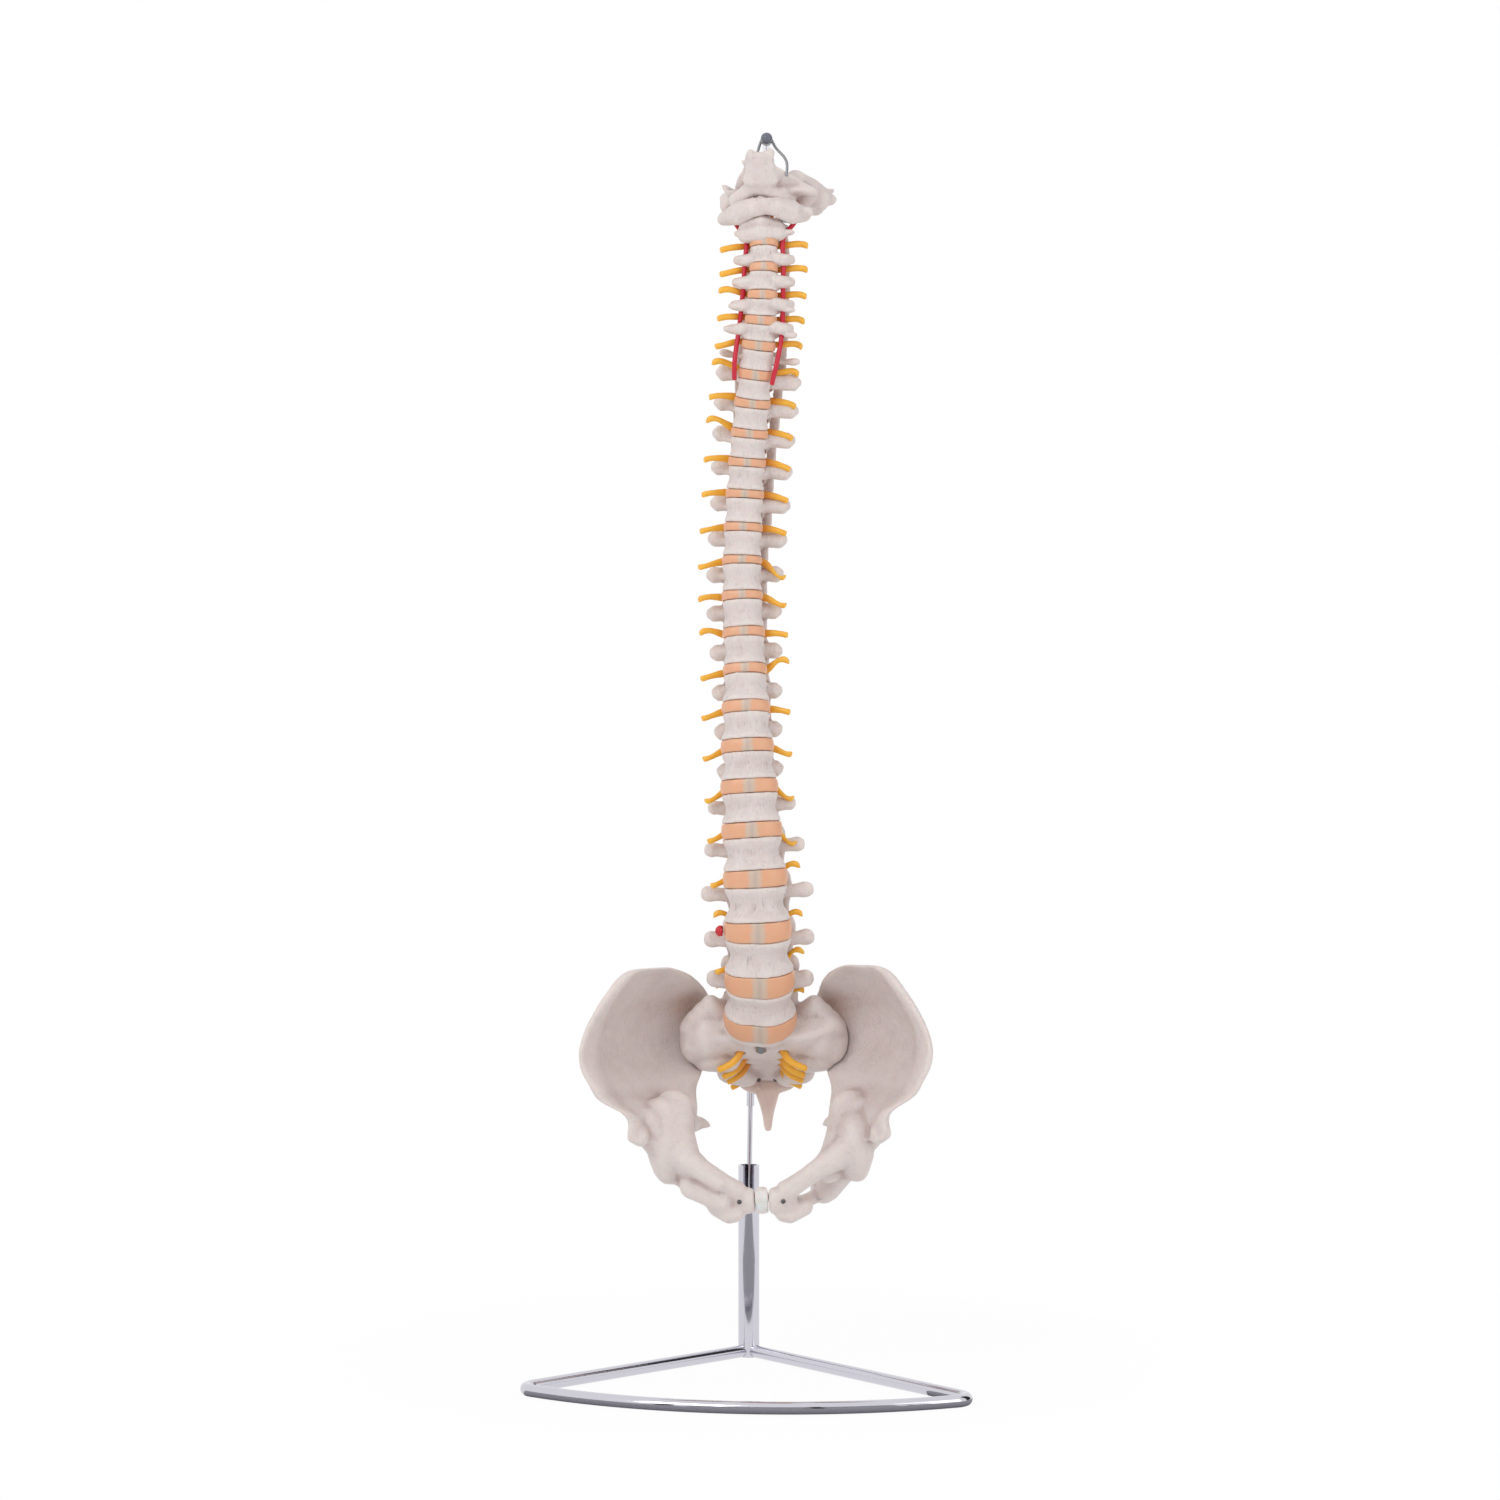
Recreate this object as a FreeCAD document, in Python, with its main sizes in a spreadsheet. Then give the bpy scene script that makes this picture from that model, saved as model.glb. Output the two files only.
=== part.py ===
import FreeCAD, Part
import Sketcher
import math
import os

# Flexible spine model hung from a chrome stand.
# The origin is the centre of the stand tube's foot on the floor, +Z is up and the spine faces -Y.

V = FreeCAD.Vector
doc = FreeCAD.newDocument("spine_model")

# Driving dimensions in millimetres and degrees, kept in the sheet

SIZES = [
    ("tube_outer", 15, "outer diameter of the upright tube"),
    ("tube_bore", 11.6, "bore of the upright tube"),
    ("tube_length", 136, "height of the tube's rim above the floor"),
    ("slot_width", 7.6, "width of the slot in the tube's mouth"),
    ("slot_length", 24, "length of the slot below the rim"),
    ("plug_length", 16, "length of the plug in the tube's foot"),
    ("plug_gap", 0.1, "gap round the plug"),
    ("bar_diameter", 8.6, "diameter of the bent base bar"),
    ("left_bar_reach", 212, "tube axis to the left corner"),
    ("right_bar_reach", 237, "tube axis to the right corner"),
    ("left_bar_angle", 47, "left bar from straight ahead"),
    ("right_bar_angle", 39.4, "right bar from straight ahead"),
    ("front_arc_radius", 275, "radius of the curved front bar"),
    ("corner_radius", 11, "bend radius of the two corners"),
    ("rod_lower_diameter", 3.6, "diameter of the rod's lower length"),
    ("rod_upper_diameter", 5.5, "diameter of the rod's upper length and arm"),
    ("rod_step_height", 178, "height where the rod grows thicker"),
    ("rod_lean", 0.94, "lean of the rod to the right"),
    ("arm_height", 850, "height of the arm's axis"),
    ("arm_reach", 106, "rod axis to the end of the arm"),
    ("arm_bend_radius", 14, "bend radius of the arm"),
    ("cap_diameter", 8, "diameter of the arm's end cap"),
    ("cap_length", 8, "length of the arm's end cap"),
    ("loop_diameter", 2.1, "diameter of the hanging cable"),
    ("hang_drop", 71, "arm axis down to the disc below the axis vertebra"),
    ("hang_back", 3, "arm's end back to the disc below the axis vertebra"),
    ("hang_left", 1.7, "arm axis to the left of the hang point"),
    ("disc_share", 0.8, "part of the bend between two vertebrae taken by the disc"),
    ("cable_diameter", 3, "diameter of the core cable"),
    ("cable_gap", 0.2, "gap round the core cable"),
    ("cord_diameter", 8, "diameter of the spinal cord"),
    ("nerve_root", 5.2, "diameter of a nerve where it leaves the spine"),
    ("nerve_tip", 3.8, "diameter of a nerve's cut end"),
    ("nerve_reach", 30, "midline to a nerve's cut end"),
    ("artery_diameter", 3.5, "diameter of a vertebral artery"),
    ("artery_gap", 0.6, "gap round an artery in a bone"),
    ("pelvis_yaw", 4, "back of the pelvis turned to the right"),
    ("pelvis_roll", 1.2, "left side of the pelvis raised"),
    ("sacrum_tilt", 57, "tilt of the sacrum's upper plate"),
    ("symphysis_width", 9, "width of the pad between the pubic bones"),
    ("socket_radius", 23, "radius of the hip socket"),
    ("nodule_diameter", 9, "diameter of the red nodule"),
    ("nut_across", 6.4, "width across the flats of the cable nut"),
    ("nut_length", 5, "length of the cable nut"),
    ("screw_diameter", 3.2, "head diameter of a small screw"),
    ("axis_body_high", 11.5, "height of the axis vertebra's body"),
    ("atlas_high", 14.4, "height of the atlas vertebra's side masses"),
    ("atlas_yaw", 12, "turn of the atlas vertebra"),
    ("skull_yaw", 17, "turn of the occipital bone"),
    ("seat_gap", 0.3, "gap between curved faces that nearly meet"),
]

# Length of each vertebra with its share of the two discs, top to bottom

PITCHES = {
    "c3": 17.3, "c4": 18.5, "c5": 17, "c6": 17.2, "c7": 19.8,
    "t1": 20, "t2": 21, "t3": 20.2, "t4": 22, "t5": 23, "t6": 22.8, "t7": 24.6, "t8": 25.6,
    "t9": 25.8, "t10": 26.4, "t11": 26.6, "t12": 27.6,
    "l1": 29.6, "l2": 32.6, "l3": 35.2, "l4": 35.4, "l5": 33.4,
}
LEVELS = list(PITCHES)

# Sizes measured at some vertebrae, and graded evenly between them

STATIONS = {
    "disc_high": {"c3": 5.2, "c7": 6.2, "t6": 5.6, "t9": 6.8, "t12": 9, "l3": 11.8, "l5": 11.5},
    "body_wide": {"c3": 19.5, "c7": 24.5, "t6": 27.4, "t9": 29.8, "t12": 39, "l5": 50},
    "body_deep": {"c3": 15, "c7": 16.5, "t6": 22, "t12": 28, "l5": 34},
    "canal_wide": {"c3": 16, "c7": 17, "t6": 14.5, "t12": 17, "l5": 20},
    "canal_deep": {"c3": 11.5, "c7": 12, "t6": 13, "t12": 14, "l5": 14},
    "pedicle_wide": {"c3": 4, "c7": 4.5, "t6": 4.5, "t12": 6.5, "l5": 10},
    "pedicle_high": {"c3": 5.6, "c7": 6.4, "t6": 9, "t12": 13, "l5": 13},
    "lamina_thick": {"c3": 3, "c7": 3.5, "t6": 4, "t12": 5, "l5": 6},
    "lamina_high": {"c3": 8.5, "c7": 11, "t6": 15, "t12": 17, "l5": 15},
    "wing_reach": {"c3": 18.5, "c7": 28.5, "t1": 30.5, "t6": 28, "t12": 22.5, "l1": 30.5,
                   "l3": 39, "l5": 37},
    "wing_back": {"c3": -7, "c7": -2, "t1": 2, "t6": 7, "t12": 5, "l1": -1, "l5": -4},
    "wing_rise": {"c3": -1, "c7": 2, "t3": 5, "t8": 1, "t12": -6, "l1": -2, "l3": 2, "l5": 3},
    "wing_thick": {"c3": 3.4, "c7": 5, "t6": 6.6, "t12": 6, "l3": 7, "l5": 8},
    "spine_reach": {"c3": 12, "c6": 20, "c7": 28, "t6": 26, "t12": 22, "l5": 22},
    "spine_drop": {"c3": 3, "c7": 9, "t1": 12, "t6": 24, "t9": 20, "t12": 7, "l5": 4},
    "spine_high": {"c3": 5.5, "c7": 7, "t6": 8, "t12": 15, "l3": 19, "l5": 15},
    "facet_out": {"c3": 12.5, "c7": 14, "t6": 11, "t12": 13, "l5": 20},
    "facet_wide": {"c3": 8, "c7": 8, "t6": 8, "t12": 8, "l5": 12},
    "droop_left": {"c3": 4, "c4": -3, "c6": 0.5, "c7": -8, "t1": -4, "t2": -9, "t3": -2, "t6": 4.5,
                   "t8": 0, "t9": 6, "t12": 10, "l2": 6, "l3": -9, "l4": -4, "l5": -22},
    "droop_right": {"c3": 1, "c6": 1, "c7": 0, "t1": 2.6, "t3": 4.6, "t5": 4, "t6": 11, "t8": 1.5,
                    "t9": -6, "t10": 3, "t12": 8, "l1": 9, "l2": -8, "l3": -10, "l4": -18, "l5": -19},
    "waist": {"c3": 0.9, "t1": 0.9, "t12": 0.87, "l3": 0.83, "l5": 0.88},
    "tilt": {"c3": -10, "c5": 5, "t1": 14, "t5": -1.5, "t10": -11, "l2": -2, "l3": 3, "l4": 13,
             "l5": 31},
    "lean": {"c3": 1, "c7": 6.5, "t3": 5, "t6": 2, "t8": -2.5, "t10": -1.5, "l2": -4, "l5": -1},
    "yaw": {"c3": 8, "t1": 9, "t5": 12, "t8": 3, "l3": 3, "l5": 1},
}

sheet = doc.addObject("Spreadsheet::Sheet", "sizes")
row = 0


def write_cell(alias, value, note):
    """Write one named size and its note on the next row of the sheet."""
    global row
    row += 1
    sheet.set(f"A{row}", note)
    sheet.set(f"B{row}", str(value))
    sheet.setAlias(f"B{row}", alias)


for alias, value, note in SIZES:
    write_cell(alias, value, note)
for level, value in PITCHES.items():
    write_cell(f"pitch_{level}", value, f"length of {level} with its share of the discs")
for name, stations in STATIONS.items():
    for level, value in stations.items():
        write_cell(f"{name}_{level}", value, f"{name.replace('_', ' ')} at {level}")
doc.recompute()


def size(alias):
    """Read one size from the sheet."""
    return float(sheet.get(alias))


def graded(name, level):
    """Grade a size evenly between the vertebrae where it is measured."""
    at = LEVELS.index(level)
    marks = [(LEVELS.index(mark), size(f"{name}_{mark}")) for mark in STATIONS[name]]
    for (low, first), (high, last) in zip(marks, marks[1:]):
        if low <= at <= high:
            return first + (last - first) * (at - low) / (high - low)
    raise ValueError(f"{name} has no size at {level}")


def solid_feature(label, shape):
    """Keep a shape made by this file as a sub-part of the document."""
    feature = doc.addObject("Part::Feature", label)
    feature.Label = label
    feature.Shape = shape
    return feature


# Small tools for rounded forms

def unit(vector):
    """Return the vector at length one."""
    return V(vector).normalize()


def closed_curve(points):
    """Make one smooth closed wire through the points."""
    curve = Part.BSplineCurve()
    curve.interpolate(Points=points, PeriodicFlag=True)
    return Part.Wire([curve.toShape()])


def oval(centre, across, along, half_across, half_along, count=8):
    """Make a smooth oval ring."""
    points = []
    for step in range(count):
        turn = 2 * math.pi * step / count
        points.append(centre + across * (half_across * math.cos(turn)) + along * (half_along * math.sin(turn)))
    return closed_curve(points)


def limb(path, halves, up=V(0, 0, 1)):
    """Loft a solid limb along a path; halves gives its half width and half height at each point."""
    rings = []
    last = len(path) - 1
    for index, (point, (half_side, half_up)) in enumerate(zip(path, halves)):
        heading = unit(path[min(index + 1, last)] - path[max(index - 1, 0)])
        side = unit(heading.cross(up))
        rings.append(oval(point, side, side.cross(heading), half_side, half_up))
    return Part.makeLoft(rings, True, False)


def ball(centre, half_x, half_y, half_z):
    """Make an egg-shaped solid."""
    stretch = FreeCAD.Matrix()
    stretch.scale(half_x, half_y, half_z)
    egg = Part.makeSphere(1).transformGeometry(stretch)
    egg.translate(centre)
    return egg


def mirrored(side, points):
    """Put points given for the right side on the side asked for."""
    return [V(side * point[0], point[1], point[2]) for point in points]


class Frame:
    """A place with its own axes: right, back and up."""

    def __init__(self, origin, up, yaw):
        self.origin = origin
        self.up = unit(up)
        turn = math.radians(yaw)
        self.right = unit(V(math.sin(turn), math.cos(turn), 0).cross(self.up))
        self.back = self.up.cross(self.right)

    def at(self, x, y, z):
        """Turn a local point into a point of the model."""
        return self.origin + self.right * x + self.back * y + self.up * z

    def place(self, shape):
        """Move a shape made about the origin into this frame."""
        matrix = FreeCAD.Matrix(
            self.right.x, self.back.x, self.up.x, self.origin.x,
            self.right.y, self.back.y, self.up.y, self.origin.y,
            self.right.z, self.back.z, self.up.z, self.origin.z, 0, 0, 0, 1)
        moved = shape.copy()
        moved.Placement = FreeCAD.Placement(matrix).multiply(moved.Placement)
        return moved


# Course of the spine: disc centres from the top down, and the axis of each vertebra

def axis_of(tilt, lean):
    """Give the upward axis of a vertebra; tilt leans its top forward and lean its top to the right."""
    return unit(V(math.tan(math.radians(lean)), -math.tan(math.radians(tilt)), 1))


lean_slope = math.tan(math.radians(size("rod_lean")))
arm_end = V(size("arm_height") * lean_slope - 1.8, -size("arm_reach"), size("arm_height"))
top_disc = arm_end + V(-size("hang_left"), size("hang_back"), -size("hang_drop"))

ups = {level: axis_of(graded("tilt", level), graded("lean", level)) for level in LEVELS}
ups["c2"] = axis_of(graded("tilt", "c3"), graded("lean", "c3"))
ups["s1"] = axis_of(size("sacrum_tilt"), graded("lean", "l5"))
ORDER = ["c2"] + LEVELS + ["s1"]
disc_centre = {"c2": top_disc}
disc_high = {"c2": graded("disc_high", "c3")}
for level in LEVELS:
    upper = ORDER[ORDER.index(level) - 1]
    disc_centre[level] = disc_centre[upper] - ups[level] * size(f"pitch_{level}")
    disc_high[level] = graded("disc_high", level)


def face_up(level, other):
    """Give the normal of a vertebra's end face that looks at another vertebra."""
    middle = unit(ups[level] + ups[other])
    share = size("disc_share")
    return unit(ups[level] * share + middle * (1 - share))


def outline_size(level):
    """Give the width and depth of the end faces beside the disc under a vertebra."""
    nearest = "c3" if level == "c2" else level
    return graded("body_wide", nearest), graded("body_deep", nearest)


def body_ring(centre, up, yaw, wide, deep):
    """Make the bean-shaped outline of a vertebral body."""
    frame = Frame(centre, up, yaw)
    half = [(0.30, -0.42), (0.48, -0.12), (0.45, 0.22), (0.25, 0.42)]
    points = [(0, -0.5)] + half + [(0, 0.36)] + [(-x, y) for x, y in reversed(half)]
    return closed_curve([frame.at(x * wide, y * deep, 0) for x, y in points])


def yaw_at(level):
    """Give the turn of a disc under a vertebra."""
    if level == "c2":
        return graded("yaw", "c3")
    return graded("yaw", level)


def upper_face(level):
    """Give centre, normal and outline size of the upper end face of a vertebra."""
    above = ORDER[ORDER.index(level) - 1]
    centre = disc_centre[above] - ups[level] * (disc_high[above] / 2)
    return centre, face_up(level, above), yaw_at(above), outline_size(above)


def lower_face(level):
    """Give centre, normal and outline size of the lower end face of a vertebra."""
    below = ORDER[ORDER.index(level) + 1]
    centre = disc_centre[level] + ups[level] * (disc_high[level] / 2)
    return centre, face_up(level, below), yaw_at(level), outline_size(level)


def cable_run(first, last, radius):
    """Make a straight round run from one point to another."""
    return Part.makeCylinder(radius, (last - first).Length, first, last - first)


def disc(level):
    """Make the soft disc under a vertebra, with its hole for the core cable."""
    below = ORDER[ORDER.index(level) + 1]
    top, top_up, yaw, (wide, deep) = lower_face(level)
    bottom, bottom_up, _, _ = upper_face(below)
    bulge = 1.035
    middle = (top + bottom) * 0.5
    seat = 0.02
    top = top - top_up * seat
    bottom = bottom + bottom_up * seat
    rings = [body_ring(bottom, bottom_up, yaw, wide, deep),
             body_ring(middle, top_up + bottom_up, yaw, wide * bulge, deep * bulge),
             body_ring(top, top_up, yaw, wide, deep)]
    body = Part.makeLoft(rings, True, False)
    hole = size("cable_diameter") / 2 + size("cable_gap")
    centre = disc_centre[level]
    reach = disc_high[level]
    next_stop = pelvis_frame.at(*nut_seat) if level == "l5" else centre - ups[below] * reach
    run_up = cable_run(centre, centre + ups[level] * reach, hole)
    run_down = cable_run(centre, next_stop, hole)
    return body.cut([run_up, run_down, Part.makeSphere(hole, centre)])


def canal_middle(level):
    """Give the distance from the body's middle back to the middle of the canal."""
    return graded("body_deep", level) * 0.36 + graded("canal_deep", level) / 2


def arch(level, high):
    """Make the bony arch behind the body: pedicles and laminae in one sweep."""
    wide = graded("body_wide", level)
    deep = graded("body_deep", level)
    canal_half = graded("canal_wide", level) / 2
    canal_back = graded("canal_deep", level) / 2
    pedicle = graded("pedicle_wide", level) / 2
    plate = graded("lamina_thick", level) / 2
    tall = graded("lamina_high", level) / 2
    middle = canal_middle(level)
    rise = high * 0.2 if level[0] != "c" else 0
    out = canal_half + pedicle
    half_path = [
        (wide * 0.3, deep * 0.22, rise),
        (min(out, wide * 0.42), middle - canal_back * 0.9, rise),
        (out, middle - canal_back * 0.1, rise),
        (out * 0.88, middle + canal_back * 0.6, rise * 0.6),
        (canal_half * 0.45, middle + canal_back + plate * 0.9, -high * 0.08),
    ]
    half_sizes = [
        (pedicle, graded("pedicle_high", level) / 2),
        (pedicle, graded("pedicle_high", level) / 2),
        (pedicle, graded("pedicle_high", level) / 2 * 1.05),
        (pedicle * 0.9, tall * 0.85),
        (plate, tall),
    ]
    path = mirrored(1, half_path)
    path.append(V(0, middle + canal_back + plate * 1.9, -high * 0.12))
    path += reversed(mirrored(-1, half_path))
    halves = half_sizes + [(plate * 1.2, tall)] + half_sizes[::-1]
    return limb(path, halves)


def spinous_process(level, high):
    """Make the process that points back, and down in the chest."""
    start = canal_middle(level) + graded("canal_deep", level) / 2 + graded("lamina_thick", level) * 0.7
    reach = graded("spine_reach", level)
    drop = graded("spine_drop", level)
    tall = graded("spine_high", level) / 2
    blade = graded("lamina_thick", level) * 0.42
    base = -high * 0.12
    path = [V(0, start, base), V(0, start + reach * 0.35, base - drop * 0.3),
            V(0, start + reach * 0.75, base - drop * 0.72), V(0, start + reach, base - drop),
            V(0, start + reach * 1.05, base - drop * 1.06)]
    halves = [(blade * 1.5, tall * 1.1), (blade, tall), (blade * 1.1, tall * 0.9),
              (blade * 1.8, tall * 0.75), (blade, tall * 0.35)]
    return limb(path, halves)


def wing(level, high, side):
    """Make one transverse process."""
    canal_half = graded("canal_wide", level) / 2
    root = canal_half + graded("pedicle_wide", level) * 0.6
    middle = canal_middle(level)
    reach = graded("wing_reach", level)
    back = graded("wing_back", level)
    rise = graded("wing_rise", level)
    thick = graded("wing_thick", level) / 2
    base = high * 0.2 if level[0] != "c" else -high * 0.08
    if level in ("c3", "c4", "c5", "c6"):
        root = graded("body_wide", level) * 0.34
        middle = canal_middle(level) - graded("canal_deep", level) * 0.62
    path = mirrored(side, [
        (root, middle, base),
        (root + (reach - root) * 0.45, middle + back * 0.45, base + rise * 0.4),
        (root + (reach - root) * 0.85, middle + back * 0.9, base + rise * 0.9),
        (reach, middle + back, base + rise),
    ])
    wide, tall = {"c": (1.45, 1), "t": (1.1, 1.25), "l": (0.8, 1.4)}[level[0]]
    halves = [(thick * 1.2 * wide, thick * 1.15 * tall), (thick * 0.95 * wide, thick * 0.9 * tall),
              (thick * 1.1 * wide, thick * 1.1 * tall), (thick * 0.55 * wide, thick * 0.55 * tall)]
    return limb(path, halves)


def facet_pillar(level, high, side):
    """Make the upper and lower joint processes of one side as one pillar."""
    out = graded("facet_out", level)
    half_wide = graded("facet_wide", level) / 2
    plate = graded("lamina_thick", level) / 2
    back = canal_middle(level) + graded("canal_deep", level) / 2 + plate * 0.6
    step = plate + size("seat_gap") / 2
    over = graded("disc_high", level) * 0.55 + 2
    spread = 1.2 if level[0] == "l" else 0
    top = high / 2 + over
    path = mirrored(side, [
        (out - spread, back + step, -top), (out - spread, back + step, -top + 2.5),
        (out - spread, back + step * 0.9, -high * 0.3), (out, back, 0),
        (out + spread, back - step * 0.9, high * 0.3),
        (out + spread, back - step, top - 2.5), (out + spread, back - step, top)])
    halves = [(half_wide * 0.5, plate * 0.5), (half_wide * 0.85, plate * 0.9), (half_wide, plate * 0.95),
              (half_wide, plate * 1.3), (half_wide, plate * 0.95), (half_wide * 0.85, plate * 0.9),
              (half_wide * 0.5, plate * 0.5)]
    return limb(path, halves, V(0, 1, 0))


def body_place(level):
    """Give the frame and height of a vertebral body."""
    top = upper_face(level)[0]
    bottom = lower_face(level)[0]
    return Frame((top + bottom) * 0.5, ups[level], graded("yaw", level)), (top - bottom).Length


def vertebra(level):
    """Make one vertebra from c3 to l5 in its place."""
    top, top_up, top_yaw, (top_wide, top_deep) = upper_face(level)
    bottom, bottom_up, bottom_yaw, (low_wide, low_deep) = lower_face(level)
    frame, high = body_place(level)
    waist = graded("waist", level)
    lip = high * 0.13
    rings = [
        body_ring(bottom, bottom_up, bottom_yaw, low_wide, low_deep),
        body_ring(bottom + ups[level] * lip, bottom_up, bottom_yaw, low_wide, low_deep),
        body_ring(frame.origin, ups[level], graded("yaw", level),
                  (top_wide + low_wide) / 2 * waist, (top_deep + low_deep) / 2 * waist),
        body_ring(top - ups[level] * lip, top_up, top_yaw, top_wide, top_deep),
        body_ring(top, top_up, top_yaw, top_wide, top_deep),
    ]
    body = Part.makeLoft(rings, True, False)
    pieces = [arch(level, high), spinous_process(level, high)]
    for side in (1, -1):
        pieces.append(wing(level, high, side))
        pieces.append(facet_pillar(level, high, side))
    bone = body.fuse([frame.place(piece) for piece in pieces])
    above = ORDER[ORDER.index(level) - 1]
    return bone.cut(cable_run(disc_centre[above], disc_centre[level], cable_hole))


# The two top vertebrae and the occipital bone piece, made about the tooth of the axis

cable_hole = size("cable_diameter") / 2 + size("cable_gap")
seat_gap = size("seat_gap")
axis_high = size("axis_body_high")
atlas_half = size("atlas_high") / 2
axis_foot = disc_centre["c2"] + ups["c2"] * (disc_high["c2"] / 2)
axis_frame = Frame(axis_foot, ups["c2"], graded("yaw", "c3"))
atlas_frame = Frame(axis_frame.at(0, -1, axis_high + 1.5 + seat_gap + atlas_half), ups["c2"],
                    size("atlas_yaw"))
skull_frame = Frame(atlas_frame.at(0, 0, atlas_half + seat_gap), ups["c2"], size("skull_yaw"))


def axis_bone():
    """Make the axis vertebra with its tooth."""
    wide, deep = outline_size("c2")
    bottom, bottom_up, yaw, _ = lower_face("c2")
    rings = [body_ring(bottom, bottom_up, yaw, wide, deep),
             body_ring(axis_frame.at(0, 0, 2), ups["c2"], yaw, wide * 0.98, deep * 0.98),
             body_ring(axis_frame.at(0, 0, axis_high * 0.6), ups["c2"], yaw, wide * 0.92, deep * 0.85),
             body_ring(axis_frame.at(0, 0, axis_high), ups["c2"], yaw, wide * 1.05, deep * 0.75)]
    body = Part.makeLoft(rings, True, False)
    tooth = limb([V(0, 0, axis_high - 3), V(0, 0, axis_high + 3), V(0, 0.3, axis_high + 9),
                  V(0, 1, axis_high + 13)], [(4.6, 4.4), (3.8, 3.8), (4.2, 4), (1.8, 1.8)], V(0, 1, 0))
    middle = Frame(V(0, 0, axis_high / 2), V(0, 0, 1), 0)
    pieces = [tooth, middle.place(arch("c3", axis_high)), middle.place(spinous_process("c4", axis_high))]
    for side in (1, -1):
        pieces.append(middle.place(wing("c4", axis_high, side)))
        pieces.append(limb(mirrored(side, [
            (12.5, 14.1, -5.4), (12.5, 14.1, -3.2), (12, 11.4, 1.4), (11.5, 5, axis_high - 3.5),
            (11.5, 3, axis_high - 0.4)]),
            [(2.4, 1.2), (3.6, 1.8), (4, 2.6), (5.2, 4), (4.6, 4.4)], V(0, 1, 0)))
    bone = body.fuse([axis_frame.place(piece) for piece in pieces])
    cable_end = axis_frame.at(0, 0, axis_high * 0.7)
    return bone.cut(cable_run(disc_centre["c2"], cable_end, cable_hole))


def atlas_bone():
    """Make the ring-shaped atlas vertebra."""
    front = limb([V(x, y, 0) for x, y in ((-15.5, 2), (-12, -4.6), (-6, -7.6), (0, -8.6), (6, -7.6),
                                           (12, -4.6), (15.5, 2))],
                 [(2.2, 3), (2.4, 3), (2.4, 3.2), (2.6, 3.8), (2.4, 3.2), (2.4, 3), (2.2, 3)])
    ring = limb([V(x, y, 0.4) for x, y in ((-15.5, 5), (-15.5, 13), (-11, 21.5), (-4, 25.6), (0, 26.2),
                                            (4, 25.6), (11, 21.5), (15.5, 13), (15.5, 5))],
                [(2.2, 3), (2.2, 2.4), (2.4, 2.6), (2.6, 2.8), (2.8, 3), (2.6, 2.8), (2.4, 2.6), (2.2, 2.4),
                 (2.2, 3)])
    pieces = [front]
    for y in (-10, 27.6):
        pieces.append(limb([V(-3.6, y, -0.6), V(-1.4, y, -0.6), V(1.4, y, -0.6), V(3.6, y, -0.6)],
                           [(1.2, 1.6), (2.6, 3.2), (2.6, 3.2), (1.2, 1.6)]))
    for side in (1, -1):
        mass = [V(side * 14.6, 1.5, atlas_half * z) for z in (-1, -0.55, 0, 0.55, 1)]
        pieces.append(limb(mass, [(4.8, 7.4), (5.8, 8.4), (6, 8.6), (5.8, 8.4), (4.8, 7.4)], V(0, 1, 0)))
        pieces.append(limb(mirrored(side, [(14, 3, 0), (23, 4, -0.5), (30, 5, -1), (33.5, 5.4, -1.4)]),
                           [(4.4, 5), (4, 3.4), (3.8, 3.6), (1.8, 1.8)]))
    return atlas_frame.place(ring.fuse(pieces))


def skull_bone():
    """Make the bowl-shaped piece of the occipital bone."""
    wide, deep, high, wall = 43, 46, 31, 4.5
    centre = V(0, 25, high - 1)
    bowl = ball(centre, wide, deep, high).cut(ball(centre, wide - wall, deep - wall, high - wall))
    over = Part.makeBox(200, 200, 100, V(-100, -100, 24))
    trims = [over]
    for side, slope in ((1, 25), (-1, 38)):
        edge = Part.makeBox(100, 130, 60, V(0, -100, 0))
        edge.rotate(V(0, 0, 0), V(0, 1, 0), slope)
        edge.translate(V(10, 0, 20))
        if side < 0:
            edge = edge.mirror(V(0, 0, 0), V(1, 0, 0))
        trims.append(edge)
    opening = Part.makeCylinder(1, 60, V(0, 0, -10))
    stretch = FreeCAD.Matrix()
    stretch.scale(12.5, 15, 1)
    opening = opening.transformGeometry(stretch)
    opening.translate(V(0, 17, 0))
    bowl = bowl.cut(trims + [opening])
    stem = limb([V(0, -4, 4), V(0, -11, 9), V(0, -18, 18), V(0, -20.5, 27.5)],
                [(12, 4), (9.5, 4.5), (8.6, 4.6), (8.2, 4.2)], V(0, 0.6, 1))
    pieces = [stem]
    for side in (1, -1):
        pieces.append(ball(V(side * 12.8, 3, 4.2), 5, 9, 4.2))
        pieces.append(limb(mirrored(side, [(13, 4, 6), (22, 6, 7), (31, 9, 6.5), (35, 11, 5.5)]),
                           [(7, 4), (6, 3.6), (5, 3.6), (2, 2)]))
    return skull_frame.place(bowl.fuse(pieces))


# Hanging loop of cable, from the left of the basilar part over the arm to the right wing

arm_point = V(arm_end.x, arm_end.y + size("cap_length"), arm_end.z)


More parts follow.
